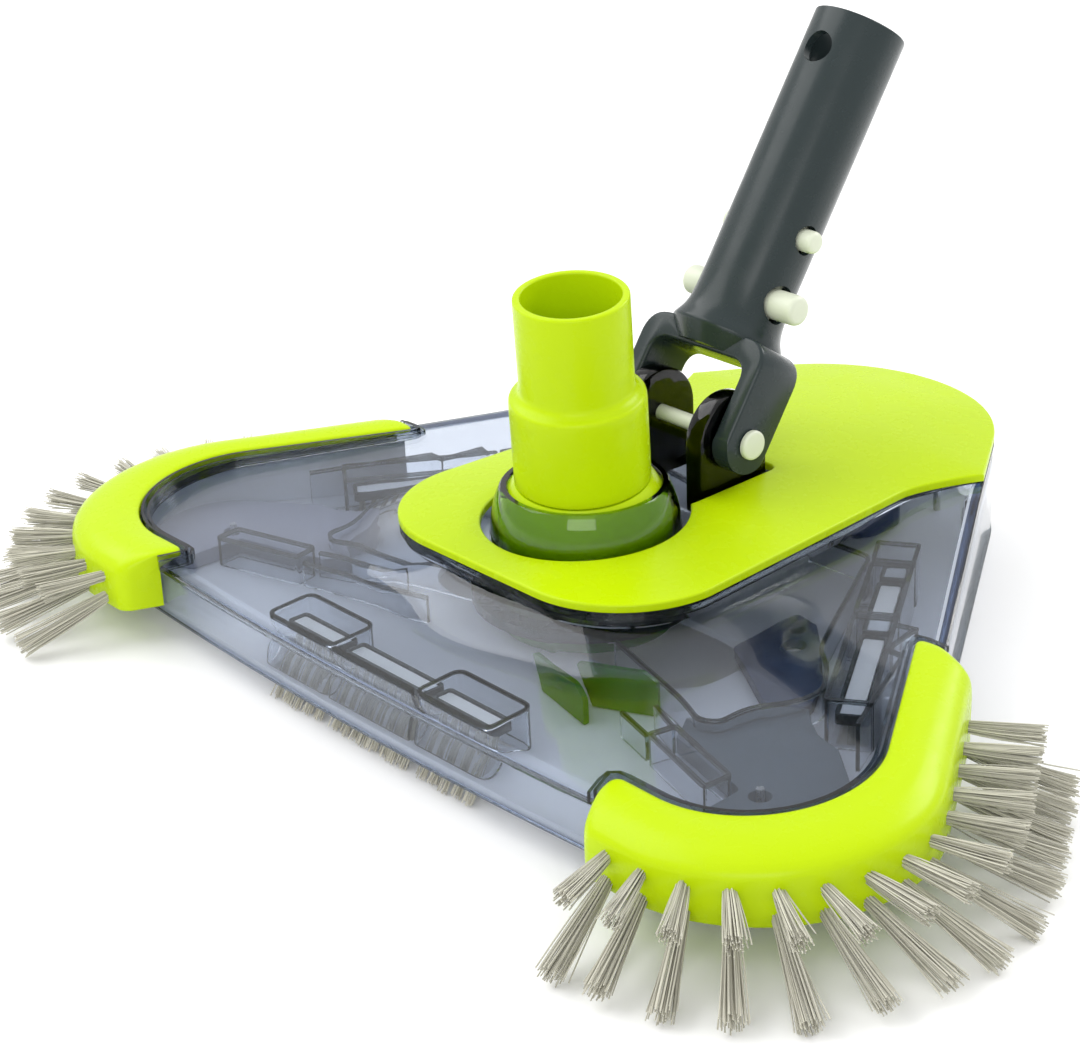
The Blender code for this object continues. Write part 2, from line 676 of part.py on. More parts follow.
def make_flow_guide(group, cutters, datum):
    """Throat ring under the ball, with a pair of upright vanes on webs towards the right wing."""
    low = BASE_HIGH + GAP
    web_top = low + 0.0030
    ring = turned("flow_guide", [(0.0250, web_top), (0.0250, low), (0.0215, low), (0.0215, web_top)])
    guide = place("flow_guide", ring, "lime", group, datum)
    for k, (start, stop) in enumerate(VANES):
        a, b = Vector(start), Vector(stop)
        run = (b - a).normalized()
        turn = Matrix.Rotation(math.atan2(run.y, run.x), 4, "Z")
        vane = block("vane", (0, -0.0008, low), ((b - a).length, 0.0008, 0.0150))
        vane.transform(Matrix.Translation((a.x, a.y, 0)) @ turn)
        boolean(guide, place(f"vane_{k}", vane, None, cutters, datum), "UNION")
        root = a.normalized() * 0.0232
        reach = b - root
        turn = Matrix.Rotation(math.atan2(reach.y, reach.x), 4, "Z")
        web = block("web", (0, -0.0014, low + 0.0002), (reach.length * 0.75, 0.0014, web_top - 0.0002))
        web.transform(Matrix.Translation((root.x, root.y, 0)) @ turn)
        boolean(guide, place(f"web_{k}", web, None, cutters, datum), "UNION")


# ---------------------------------------------------------------- ball joint and hose cuff
def sphere_profile(radius, high, low, steps):
    """(radius, height) points on a sphere, from its upper cut to its lower one."""
    start, stop = math.acos(high / radius), math.acos(low / radius)
    angles = [start + (stop - start) * k / steps for k in range(steps + 1)]
    return [(radius * math.sin(a), radius * math.cos(a)) for a in angles]


def make_ball(group, joint):
    profile = sphere_profile(BALL_R, BALL_TOP_H, BALL_FOOT_H, 9)
    profile += [(BALL_BORE_R, BALL_FOOT_H), (BALL_BORE_R, BALL_TOP_H)]
    place("swivel_ball", turned("swivel_ball", profile), "lime", group, joint)


def make_cuff(group, joint):
    foot = BALL_FOOT_H - 0.0027
    seat = BALL_TOP_H + GAP
    bore = CUFF_BORE_R
    lip = 0.0008
    profile = [
        (CUFF_TOP_R - lip, CUFF_TOP_H), (CUFF_TOP_R, CUFF_TOP_H - lip), (CUFF_TOP_R, STEP_H + 0.0015),
        (CUFF_TOP_R + 0.0012, STEP_H), (CUFF_LOW_R - 0.0006, STEP_H - 0.0008), (CUFF_LOW_R, STEP_H - 0.0022),
        (CUFF_LOW_R, seat), (STEM_R, seat), (STEM_R, foot), (bore + 0.0006, foot),
        (bore + 0.0006, STEP_H - 0.004), (bore, STEP_H), (bore, CUFF_TOP_H)]
    place("hose_cuff", turned("hose_cuff", profile), "lime", group, joint)
    snap = [(0.0181, BALL_FOOT_H - GAP), (0.0181, foot + 0.0008), (STEM_R + GAP, foot + 0.0008),
            (STEM_R + GAP, BALL_FOOT_H - GAP)]
    place("cuff_snap_ring", turned("cuff_snap_ring", snap, 24), "nylon", group, joint)


def make_retainer(group, cutters, datum):
    """Ring under the ball: a seat inside the socket wall and a flange for three screws."""
    top = SOCKET_FOOT_Z - GAP
    low = top - RETAINER_T
    seat = sphere_profile(SOCKET_R, -0.0080, top - BALL_Z, 5)
    seat = [(min(r, SOCKET_R - 0.0008), BALL_Z + h) for r, h in seat]
    lip = SOCKET_R - GAP
    profile = [(lip, seat[0][1]), (lip, top), (0.0330, top), (0.0330, low), (seat[-1][0], low)]
    profile += reversed(seat)
    ring = place("ball_retainer", turned("ball_retainer", profile), "charcoal", group, datum)
    for k in range(3):
        a = math.radians(90 + 120 * k)
        hole = place(f"retainer_hole_{k}", cylinder("retainer_hole", 0.0013, 0.005, 0.016, 8),
                     None, cutters, datum)
        hole.location.xy = RETAINER_SCREW_R * math.cos(a), RETAINER_SCREW_R * math.sin(a)
        boolean(ring, hole, "DIFFERENCE")


# ---------------------------------------------------------------- handle, clip and pins
def yoke_outline():
    """Fork in (X, S): an arch with rounded shoulders, open below the hinge."""
    low = -YOKE_DEPTH - 0.0005
    outer = arc((YOKE_OUT - 0.0085, YOKE_TOP - 0.0085), 0.0085, 0, 90, 5)
    inner = arc((YOKE_IN - 0.0050, YOKE_UNDER - 0.0050), 0.0050, 90, 0, 4)
    right = [Vector((YOKE_OUT, low))] + outer
    left = [Vector((-p.x, p.y)) for p in reversed(right)]
    hollow_left = [Vector((-p.x, p.y)) for p in reversed(inner)]
    return (right + left + [Vector((-YOKE_IN, low))] + hollow_left
            + inner + [Vector((YOKE_IN, low))])


def make_handle(group, cutters, joint):
    """Fork and tube as one moulding; its own Z runs up the tube from the hinge."""
    steps = 32
    wall = [(TUBE_R - 0.0005, TUBE_END), (TUBE_R, TUBE_END - 0.0005), (TUBE_R, 0.0380),
            (TUBE_R + 0.0008, 0.0320), (TUBE_R + 0.0025, 0.0275), (TUBE_R - 0.0010, YOKE_UNDER + 0.0012),
            (0.0, YOKE_UNDER + 0.0004), (0.0, 0.0285), (TUBE_BORE_R, 0.0285), (TUBE_BORE_R, TUBE_END)]
    tube = place("pole_handle", turned("pole_handle", wall, steps), "charcoal", group, joint)
    fork = flat_piece("fork", yoke_outline(), -YOKE_DEPTH, YOKE_DEPTH)
    fork.transform(Matrix.Rotation(math.pi / 2, 4, "X"))
    fork = place("fork", fork, None, cutters, joint)
    side = arc((0, 0), YOKE_DEPTH, 180, 360, 12) + [Vector((YOKE_DEPTH, 0.05)), Vector((-YOKE_DEPTH, 0.05))]
    trim = place("fork_trim", flat_piece("fork_trim", side, -0.03, 0.03), None, cutters, joint)
    aim(trim, (0, 0, 0), (1, 0, 0), (0, 1, 0))
    boolean(fork, trim, "INTERSECT")
    boolean(tube, fork, "UNION")
    cuts = [("pin_bore", PIN_HOLE_R, 0.0, (1, 0, 0), 16), ("lock_bore", 0.0043, LOCK_S, (1, 0, 0), 16),
            ("finger_bore", 0.0056, FINGER_S, (1, 0, 0), 20),
            ("pole_bore", 0.00475, POLE_HOLE_S, (0, 1, 0), 20)]
    for name, radius, height, along, sides in cuts:
        cut = place(name, cylinder(name, radius, -0.03, 0.03, sides), None, cutters, joint)
        aim(cut, (0, 0, height), along, (0, 0, 1))
        boolean(tube, cut, "DIFFERENCE")


def make_clip(group, cutters, joint):
    """Nylon clip inside the tube: a bend near the open end and two arms with buttons."""
    outer = arc((0, CLIP_BEND_S + GAP), CLIP_OUT, 0, 180, 10)
    inner = arc((0, CLIP_BEND_S + GAP), CLIP_IN, 180, 0, 10)
    bend = flat_piece("clip_bend", outer + inner, -CLIP_HALF, CLIP_HALF)
    bend.transform(Matrix.Rotation(math.pi / 2, 4, "X"))
    place("clip_bend", bend, "nylon", group, joint)
    for side in (1, -1):
        word = "right" if side > 0 else "left"
        pivot = bpy.data.objects.new(f"clip_pivot_{word}", None)
        group.objects.link(pivot)
        pivot.parent = joint
        pivot.location = (side * (CLIP_IN + CLIP_OUT) / 2, 0, CLIP_BEND_S)
        shift = Vector((-side * (CLIP_IN + CLIP_OUT) / 2, 0, -CLIP_BEND_S))
        low_x, high_x = sorted((side * CLIP_IN, side * CLIP_OUT))
        arm = block(f"clip_arm_{word}", (low_x, -CLIP_HALF, CLIP_FOOT_S), (high_x, CLIP_HALF, CLIP_BEND_S))
        arm.transform(Matrix.Translation(shift))
        arm = place(f"clip_arm_{word}", arm, "nylon", group, pivot)
        for label, height, radius, end in BUTTONS:
            button = cylinder("button", radius, CLIP_OUT - 0.0006, end, 16)
            button = place(f"{label}_button_{word}", button, None, cutters, pivot)
            aim(button, shift + Vector((0, 0, height)), (side, 0, 0), (0, 0, 1))
            boolean(arm, button, "UNION")


def make_pin(group, datum):
    """Hinge pin with its head on the right, and the cap pressed on its left end."""
    head = YOKE_OUT + GAP
    end = -(YOKE_OUT + 0.0016)
    profile = [(0.0, head + 0.0016), (PIN_HEAD_R - 0.0008, head + 0.0014), (PIN_HEAD_R, head + 0.0008),
               (PIN_HEAD_R, head), (PIN_R, head), (PIN_R, end + 0.0004), (PIN_R - 0.0004, end), (0.0, end)]
    pin = place("hinge_pin", turned("hinge_pin", profile, 20), "nylon", group, datum)
    aim(pin, HINGE, (1, 0, 0), (0, 1, 0))
    cap = [(PIN_HEAD_R, -head), (PIN_HEAD_R, -head - 0.0010), (PIN_R + GAP, -head - 0.0016),
           (PIN_R + GAP, -head)]
    cap = place("pin_cap", turned("pin_cap", cap, 20), "nylon", group, datum)
    aim(cap, HINGE, (1, 0, 0), (0, 1, 0))


# ---------------------------------------------------------------- fasteners
def screw_mesh(head_r, head_t, shank_r, length):
    """Screw with its head down: the shank rises from the head's top face."""
    return turned("screw", [(0.0, length), (shank_r, length), (shank_r, 0.0), (head_r, 0.0),
                            (head_r - 0.0003, -head_t), (0.0, -head_t)], 12)


def make_bumper_screws(side, bumper, hood, group, cutters, datum):
    """Two screws driven outwards through the hood's wall into the bumper."""
    sign = 1 if side == "right" else -1
    for number, angle in enumerate(BUMPER_SCREW_ANGLES):
        a = math.radians(angle)
        heading = Vector((sign * math.cos(a), math.sin(a), 0.0))
        centre = Vector((sign * WING_CENTRE.x, WING_CENTRE.y, BUMPER_SCREW_Z))
        name = f"bumper_screw_{side}_{number + 1}"
        drill = place(name + "_drill", cylinder("drill", 0.0014, WING_R - 0.004, WING_R + 0.0072, 8),
                      None, cutters, datum)
        aim(drill, centre, heading, (0, 0, 1))
        boolean(hood, drill, "DIFFERENCE")
        boolean(bumper, drill, "DIFFERENCE")
        screw = place(name, screw_mesh(0.0024, 0.0012, 0.0011, 0.0090), "steel", group, datum)
        aim(screw, centre + heading * (WING_R - SKIN_T - 3 * GAP), heading, (0, 0, 1))


def make_screws(group, datum):
    for number, (x, y, _) in enumerate(boss_places()):
        mesh = screw_mesh(0.0027, 0.0012, 0.0011, 0.0100)
        screw = place(f"base_screw_{number + 1}", mesh, "steel", group, datum)
        screw.location = x, y, BASE_LOW - GAP
    for k in range(3):
        a = math.radians(90 + 120 * k)
        mesh = screw_mesh(0.0022, 0.0010, 0.0010, 0.0036)
        screw = place(f"retainer_screw_{k + 1}", mesh, "steel", group, datum)
        screw.location = (RETAINER_SCREW_R * math.cos(a), RETAINER_SCREW_R * math.sin(a),
                          SOCKET_FOOT_Z - RETAINER_T - 2 * GAP)


# ---------------------------------------------------------------- assembly
def empty(name, group, parent=None):
    item = bpy.data.objects.new(name, None)
    group.objects.link(item)
    item.parent = parent
    return item


def build():
    clear_scene()
    group = new_collection("manual_vacuum_head")
    cutters = new_collection("cutters")
    datum = empty("hood_datum", group)
    datum.location = (0.0, HOSE_Y, FLOOR_GAP)
    cuff_joint = aim(empty("cuff_joint", group, datum), (0, 0, BALL_Z), CUFF_AXIS)
    handle_joint = empty("handle_joint", group, datum)
    handle_joint.location = HINGE
    handle_joint.rotation_euler = (-HANDLE_LEAN, 0, 0)

    hood = make_hood(group, cutters, datum)
    make_base(group, cutters, datum)
    make_cover(group, cutters, datum)
    for side in ("right", "left"):
        bumper = make_bumper(side, group, datum)
        make_bumper_screws(side, bumper, hood, group, cutters, datum)
        for row in ("upper", "lower"):
            make_comb(side, row, group, cutters, datum)
    make_floor_brush("front_brush", front_pocket, FRONT_POCKET, (), group, datum)
    make_floor_brush("side_brush_right", side_pocket, SIDE_POCKET, (1,), group, datum)
    make_floor_brush("side_brush_left", side_pocket, SIDE_POCKET, (-1,), group, datum)
    make_weights(group, cutters, datum)
    make_flow_guide(group, cutters, datum)
    make_retainer(group, cutters, datum)
    make_ball(group, cuff_joint)
    make_cuff(group, cuff_joint)
    make_handle(group, cutters, handle_joint)
    make_clip(group, cutters, handle_joint)
    make_pin(group, datum)
    make_screws(group, datum)


build()
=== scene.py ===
"""Looks of the pool vacuum head: smoked hood, lime cover, bumpers and cuff, pole handle, nylon tufts.

Every piece is drawn in metres around the hose axis at the hood's lower edge, as the CAD part is, then
moved by DATUM into the frame, where it rides on its CAD body.
"""

import json
import math
import random

import bmesh
import bpy
from mathutils import Matrix, Vector
from mathutils.geometry import delaunay_2d_cdt


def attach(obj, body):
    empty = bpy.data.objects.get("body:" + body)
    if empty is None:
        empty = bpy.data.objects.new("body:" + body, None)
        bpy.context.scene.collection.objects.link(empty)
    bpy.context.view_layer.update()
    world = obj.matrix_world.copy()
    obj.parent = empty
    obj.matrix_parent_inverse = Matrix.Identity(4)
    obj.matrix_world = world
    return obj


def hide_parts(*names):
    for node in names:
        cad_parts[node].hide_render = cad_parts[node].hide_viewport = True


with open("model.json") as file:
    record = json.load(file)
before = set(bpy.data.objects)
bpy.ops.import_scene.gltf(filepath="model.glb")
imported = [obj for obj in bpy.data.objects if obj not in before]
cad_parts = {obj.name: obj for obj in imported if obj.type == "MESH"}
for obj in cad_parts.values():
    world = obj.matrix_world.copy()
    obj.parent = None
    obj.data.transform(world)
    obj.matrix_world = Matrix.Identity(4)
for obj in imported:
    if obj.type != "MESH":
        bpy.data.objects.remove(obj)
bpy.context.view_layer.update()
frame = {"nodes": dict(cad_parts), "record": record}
DATUM = Matrix.Translation((0.0, -0.0145, 0.0080))
GAP = 0.0003
FLOOR_Z = -0.0080
SIDES = ((1, "right"), (-1, "left"))

# ---- hood outline, seen from above, and its heights ----
SIDE_ANGLE = math.radians(33.9)
SIDE_NORMAL = Vector((math.cos(SIDE_ANGLE), math.sin(SIDE_ANGLE)))
SIDE_RUN = Vector((-SIDE_NORMAL.y, SIDE_NORMAL.x))
WING_CENTRE = Vector((0.1065, -0.0410))
WING_R = 0.0403
FRONT_BOW = 0.0037
NOSE_CENTRE = Vector((0.0, 0.0955))
SIDE_OFFSET = SIDE_NORMAL.dot(WING_CENTRE) + WING_R
NOSE_R = SIDE_OFFSET - SIDE_NORMAL.dot(NOSE_CENTRE)
FRONT_Y = WING_CENTRE.y - WING_R
SKIN_T = 0.0024
FRONT_STEPS = 18            # points along each stretch of the outline
WING_STEPS = 30
SIDE_COUNT = 36
NOSE_STEPS = 30
EDGE_FRONT_Z = 0.0158
EDGE_Z0 = 0.0215
EDGE_SLOPE = 0.098
EDGE_MAX_Z = 0.0306
FOOT_Z = 0.0268
DECK_Z = 0.0312
FLARE_WIDE = 0.0190         # reach of the flare round the cover

# ---- lime cover ----
COVER_FRONT_Y = -0.0388
COVER_FRONT_HALF = 0.0235
COVER_CORNER_R = 0.0320
COVER_WAIST = 0.0500
COVER_WAIST_Y = 0.0760
JOIN_Y = 0.1010
COVER_LIP = 0.0012
COVER_EDGE_Z = 0.0338
CROWN = 0.0046
CROWN_LENGTH = 0.1870
COVER_HOLE_R = 0.0297

# ---- ball joint, cuff, hinge and handle ----
BALL_Z = 0.0327
BALL_R = 0.0246
WELL_R = 0.0274             # hole in the deck that the socket stands in
SOCKET_OUT_R = 0.0270
SOCKET_IN_R = 0.0250
SOCKET_CUT = 0.0125         # height of the socket's rim above the ball's centre
SOCKET_FOOT_Z = 0.0140
CUFF_AXIS = Vector((0.068, -0.093, 1.0)).normalized()
CUFF_TOP_H = 0.0714
HINGE = Vector((0.0, 0.0413, 0.0512))
LUG_X = 0.01465
LUG_R = 0.0132
LUG_HALF = 0.00315          # half of a lug's thickness
HANDLE_LEAN = math.radians(34.9)
LOCK_S = 0.0600
FINGER_S = 0.0400
CLIP_BEND_S = 0.0920
PIN_R = 0.0026
FORK_DEPTH = 0.0090         # half of the fork's depth
POLE_HOLE_S = 0.1120
TUBE_R = 0.01385
TUBE_BORE_R = 0.0113
TUBE_END = 0.1244

# ---- bumpers ----
BUMPER_IN = (Vector((0.1070, -0.0420)), 0.0330)
BUMPER_OUT = (Vector((0.1125, -0.0467)), 0.0470)
BUMPER_TIP_X = (0.0920, 0.1000)
BUMPER_TIP_RUN = (-0.0403, -0.0519)
BUMPER_Z0 = 0.0253
BUMPER_SLOPE = 0.0586
BUMPER_FOOT = 0.0030
TIP_ROUND = 0.0036
ARC_COUNT = 44
TUFTS_PER_ROW = 14
TUFT_FAN = (math.radians(-74.0), math.radians(35.0))
# name, height, reach, drop, radius at the root and at the tip, filaments
TUFT_ROWS = (("upper", 0.0123, 0.0195, 0.0010, 0.0015, 0.0029, 46),
             ("lower", 0.0056, 0.0275, 0.0100, 0.0016, 0.0036, 52))
FILAMENT_R = 0.00021

# ---- base: heights, sleeves (half length, half width), brush spans, and plan lines of the right wing ----
BASE_LOW = 0.0008
BASE_HIGH = 0.0032
FRONT_POCKET = (0.0475, 0.0076)
FRONT_POCKET_Y = -0.0702
FRONT_SPANS = ((-0.0440, -0.0210), (-0.0175, 0.0165), (0.0200, 0.0440))
FRONT_SLOTS = ((-0.0440, -0.0220), (-0.0190, 0.0160), (0.0200, 0.0440))
FRONT_SLEEVE_TOP = 0.0160
SIDE_POCKET = (0.0480, 0.0058)
SIDE_SPANS = ((-0.0450, -0.0010), (0.0030, 0.0325), (0.0368, 0.0450))
SIDE_SLOTS = ((-0.0450, -0.0010), (0.0020, 0.0330), (0.0355, 0.0450))
SIDE_SLEEVE_TOP = 0.0175
BRUSH_HALF_WIDE = (0.0030, 0.0036)
SIDE_POCKET_MIDDLE = SIDE_NORMAL * (SIDE_OFFSET - 0.0215) + SIDE_RUN * -0.0163
CHAMBER = [(0.0300, -0.0170), (0.0680, -0.0285), (0.0780, -0.0330), (0.0830, -0.0300), (0.0830, -0.0190),
           (0.0895, -0.0085), (0.0905, 0.0010), (0.0815, 0.0120), (0.0740, 0.0170), (0.0500, 0.0590),
           (0.0455, 0.0680), (0.0430, 0.0695), (0.0220, 0.0680)]
SIDE_STEP = [(0.0850, 0.0350), (0.0905, 0.0365), (0.0930, 0.0225), (0.0985, 0.0225), (0.1150, -0.0130)]
WING_PLATE = [(0.1065, -0.0660), (0.1068, -0.0590), (0.1062, -0.0462), (0.0762, -0.0380), (0.0700, -0.0290),
              (0.0775, -0.0265), (0.0795, -0.0150), (0.0845, -0.0070), (0.0900, -0.0040), (0.0950, -0.0085),
              (0.1010, -0.0125), (0.1100, -0.0145)]
INNER_WEIGHT = [(0.0480, 0.0100), (0.0462, 0.0370), (0.0560, 0.0350), (0.0790, 0.0150), (0.0862, 0.0010),
                (0.0855, -0.0045), (0.0760, -0.0070)]
VANES = (((0.0225, -0.0393), (0.0485, -0.0450), 0.0140), ((0.0385, -0.0385), (0.0590, -0.0285), 0.0165))

# ---- camera, and the lights: name, place, size, power ----
CAMERA_PLACE = (0.4883, -0.44377, 0.3368)
CAMERA_RIGHT = (0.6588, 0.7512, -0.0410)
CAMERA_BACK = (0.6955, -0.5873, 0.4141)
CAMERA_LENS = 84.39
LIGHTS = (("key", (-0.9, -0.5, 1.3), (1.8, 1.08), 16.0), ("fill", (1.2, -1.3, 0.9), (1.2, 0.72), 10.0),
          ("rim", (0.2, 1.3, 1.0), (1.0, 0.6), 11.0))


# ---------------------------------------------------------------- materials
def node_material(name):
    made = bpy.data.materials.new(name)
    made.use_nodes = True
    tree = made.node_tree
    return made, tree, tree.nodes["Principled BSDF"]


def noise_at(tree, scale, detail=4.0, roughness=0.55, stretch=(1, 1, 1)):
    """Noise over the object's own coordinates, stretched along an axis where asked."""
    spot = tree.nodes.new("ShaderNodeTexCoord")
    shape = tree.nodes.new("ShaderNodeMapping")
    shape.inputs["Scale"].default_value = stretch
    tree.links.new(spot.outputs["Object"], shape.inputs["Vector"])
    made = tree.nodes.new("ShaderNodeTexNoise")
    made.inputs["Scale"].default_value = scale
    made.inputs["Detail"].default_value = detail
    made.inputs["Roughness"].default_value = roughness
    tree.links.new(shape.outputs["Vector"], made.inputs["Vector"])
    return made.outputs["Fac"]


def spread(tree, value, low, high, start=0.3, stop=0.7):
    """Map a 0 to 1 value onto a range."""
    made = tree.nodes.new("ShaderNodeMapRange")
    made.inputs["From Min"].default_value = start
    made.inputs["From Max"].default_value = stop
    made.inputs["To Min"].default_value = low
    made.inputs["To Max"].default_value = high
    tree.links.new(value, made.inputs["Value"])
    return made.outputs["Result"]


def blend_colour(tree, value, low, high):
    made = tree.nodes.new("ShaderNodeMix")
    made.data_type = "RGBA"
    made.inputs["A"].default_value = (*low, 1.0)
    made.inputs["B"].default_value = (*high, 1.0)
    tree.links.new(value, made.inputs["Factor"])
    return made.outputs["Result"]


def bump(tree, shader, value, strength, distance):
    made = tree.nodes.new("ShaderNodeBump")
    made.inputs["Strength"].default_value = strength
    made.inputs["Distance"].default_value = distance
    tree.links.new(value, made.inputs["Height"])
    tree.links.new(made.outputs["Normal"], shader.inputs["Normal"])


def smoked_plastic(name, density, tint=(0.29, 0.46, 0.64), rough=(0.015, 0.05), specular=0.5):
    """Clear plastic that darkens with the length of the way through it."""
    made, tree, shader = node_material(name)
    shader.inputs["Base Color"].default_value = (0.97, 0.98, 1.0, 1.0)
    shader.inputs["Transmission Weight"].default_value = 1.0
    shader.inputs["IOR"].default_value = 1.42
    shader.inputs["Specular IOR Level"].default_value = specular
    haze = noise_at(tree, 60.0)
    tree.links.new(spread(tree, haze, *rough), shader.inputs["Roughness"])
    bump(tree, shader, noise_at(tree, 900.0, 2.0), 0.03, 0.0001)
    body = tree.nodes.new("ShaderNodeVolumeAbsorption")
    body.inputs["Color"].default_value = (*tint, 1.0)
    body.inputs["Density"].default_value = density
    tree.links.new(body.outputs["Volume"], tree.nodes["Material Output"].inputs["Volume"])
    return made


def frosted_plastic(name, low, high, clear):
    """Textured sheet that scatters most of the light and lets the rest through."""
    made, tree, shader = node_material(name)
    tree.links.new(blend_colour(tree, noise_at(tree, 18.0, 5.0), low, high), shader.inputs["Base Color"])
    tree.links.new(spread(tree, noise_at(tree, 200.0), 0.28, 0.5), shader.inputs["Roughness"])
    shader.inputs["Transmission Weight"].default_value = clear
    bump(tree, shader, noise_at(tree, 700.0, 3.0), 0.25, 0.0002)
    return made


def moulded_plastic(name, low, high, rough, grain=0.06, specular=0.5):
    """Opaque moulded plastic: faint flow marks in its colour and gloss, and a fine grain."""
    made, tree, shader = node_material(name)
    flow = noise_at(tree, 25.0, 5.0)
    tree.links.new(blend_colour(tree, flow, low, high), shader.inputs["Base Color"])
    tree.links.new(spread(tree, noise_at(tree, 140.0, 6.0), *rough), shader.inputs["Roughness"])
    bump(tree, shader, noise_at(tree, 1600.0, 3.0), grain, 0.0002)
    shader.inputs["Specular IOR Level"].default_value = specular
    return made


def bristle_nylon(name):
    """Grey-beige filament: each one has its own shade."""
    made, tree, shader = node_material(name)
    spot = tree.nodes.new("ShaderNodeNewGeometry")
    shade = blend_colour(tree, spot.outputs["Random Per Island"], (0.30, 0.29, 0.235), (0.62, 0.60, 0.50))
    tree.links.new(shade, shader.inputs["Base Color"])
    tree.links.new(spread(tree, noise_at(tree, 800.0), 0.35, 0.6), shader.inputs["Roughness"])
    shader.inputs["Sheen Weight"].default_value = 0.2
    return made


def screw_steel(name):
    made, tree, shader = node_material(name)
    marks = noise_at(tree, 500.0, 6.0, 0.6, (1, 8, 1))
    shade = blend_colour(tree, marks, (0.50, 0.51, 0.53), (0.66, 0.67, 0.69))
    tree.links.new(shade, shader.inputs["Base Color"])
    tree.links.new(spread(tree, marks, 0.2, 0.4), shader.inputs["Roughness"])
    shader.inputs["Metallic"].default_value = 1.0
    return made


SMOKE = smoked_plastic("smoked_plastic", 125.0, (0.34, 0.44, 0.60))
SMOKE_BASE = frosted_plastic("smoked_base", (0.78, 0.83, 0.92), (0.90, 0.93, 0.98), 0.12)
SMOKE_RIB = smoked_plastic("smoked_ribs", 90.0)
SMOKE_THICK = smoked_plastic("smoked_plastic_thick", 520.0, (0.12, 0.20, 0.26))
SMOKE_DOME = smoked_plastic("smoked_dome", 800.0, (0.63, 0.77, 0.0), specular=0.2)
SMOKE_LUG = smoked_plastic("smoked_lugs", 1500.0, (0.10, 0.16, 0.18))
LIME = moulded_plastic("lime_plastic", (0.43, 0.60, 0.001), (0.46, 0.635, 0.002), (0.22, 0.32), 0.02, 0.14)
CHARCOAL = moulded_plastic("charcoal_plastic", (0.017, 0.027, 0.028), (0.024, 0.034, 0.036), (0.20, 0.32),
                           specular=0.3)
NYLON = moulded_plastic("natural_nylon", (0.60, 0.64, 0.50), (0.66, 0.69, 0.57), (0.30, 0.42))
PALE_BACK = moulded_plastic("pale_backing", (0.86, 0.89, 0.90), (0.94, 0.96, 0.97), (0.35, 0.5))
WEIGHT = moulded_plastic("coated_weight", (0.022, 0.045, 0.11), (0.030, 0.058, 0.135), (0.35, 0.5), grain=0.2)
WING = moulded_plastic("wing_weight_coat", (0.085, 0.115, 0.145), (0.11, 0.14, 0.175), (0.5, 0.6), grain=0.2)
VANE = moulded_plastic("vane_plastic", (0.006, 0.11, 0.002), (0.012, 0.15, 0.004), (0.30, 0.40))
# painted light: a paler copy of the wing weight's coat for the left plate, standing in for the brighter light
# on the hood's left side
WING_PAINTED_LIGHT = moulded_plastic("wing_weight_painted_light", (0.32, 0.335, 0.41), (0.38, 0.395, 0.47), (0.5, 0.6), 0.2)
BRISTLE = bristle_nylon("nylon_bristle")
STEEL = screw_steel("stainless_steel")
# each of the record's slots, with the finish of its CAD nodes first
FINISHES = {"smoked_plastic": (SMOKE, SMOKE_BASE, SMOKE_RIB, SMOKE_THICK, SMOKE_DOME, SMOKE_LUG),
            "lime_plastic": (LIME, VANE), "charcoal_plastic": (CHARCOAL,),
            "natural_nylon": (NYLON, PALE_BACK), "coated_weight": (WEIGHT, WING, WING_PAINTED_LIGHT),
            "nylon_bristle": (BRISTLE,), "stainless_steel": (STEEL,)}


# ---------------------------------------------------------------- mesh helpers
def mesh_of(name, verts, faces, crease=35.0):
    bm = bmesh.new()
    add_faces(bm, verts, faces)
    return finish_mesh(name, bm, crease)


def add_faces(bm, verts, faces):
    made = [bm.verts.new(v) for v in verts]
    for face in faces:
        bm.faces.new([made[i] for i in face])


def finish_mesh(name, bm, crease=35.0):
    bmesh.ops.remove_doubles(bm, verts=bm.verts, dist=1e-7)
    bmesh.ops.recalc_face_normals(bm, faces=bm.faces)
    mesh = bpy.data.meshes.new(name)
    bm.to_mesh(mesh)
    bm.free()
    return smoothed(mesh, crease)


def smoothed(mesh, crease):
    mesh.shade_smooth()
    mesh.set_sharp_from_angle(angle=math.radians(crease))
    return mesh


def piece(name, mesh, material, body, nodes=(), place=None):
    """Put a mesh drawn around the hose axis into the frame, on its body, in the place of CAD nodes."""
    mesh.transform(DATUM @ (place or Matrix.Identity(4)))
    made = bpy.data.objects.new(name, mesh)
    bpy.context.scene.collection.objects.link(made)
    mesh.materials.append(material)
    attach(made, body)
    if nodes:
        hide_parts(*nodes)


def skin(rings, ends="caps"):
    """Verts and faces between equal rings, with their ends capped, joined in a loop or left open."""
    verts = [tuple(p) for ring in rings for p in ring]
    n = len(rings[0])
    faces = []
    pairs = list(zip(range(len(rings)), range(1, len(rings))))
    if ends == "loop":
        pairs.append((len(rings) - 1, 0))
    for a, b in pairs:
        for i in range(n):
            j = (i + 1) % n
            faces.append((a * n + i, a * n + j, b * n + j, b * n + i))
    if ends == "caps":
        faces.append(tuple(range(n))[::-1])
        faces.append(tuple(range((len(rings) - 1) * n, len(rings) * n)))
    return verts, faces


def turned(name, profile, steps=96, crease=35.0):
    """Turn a closed (radius, height) profile about Z."""
    bm = bmesh.new()
    rows = []
    for k in range(steps):
        c, s = math.cos(2 * math.pi * k / steps), math.sin(2 * math.pi * k / steps)
        rows.append([bm.verts.new((r * c, r * s, z)) for r, z in profile])
    for k in range(steps):
        here, there = rows[k], rows[(k + 1) % steps]
        for i in range(len(profile)):
            j = (i + 1) % len(profile)
            if profile[i][0] == 0 and profile[j][0] == 0:
                continue
            bm.faces.new((here[i], here[j], there[j], there[i]))
    return finish_mesh(name, bm, crease)


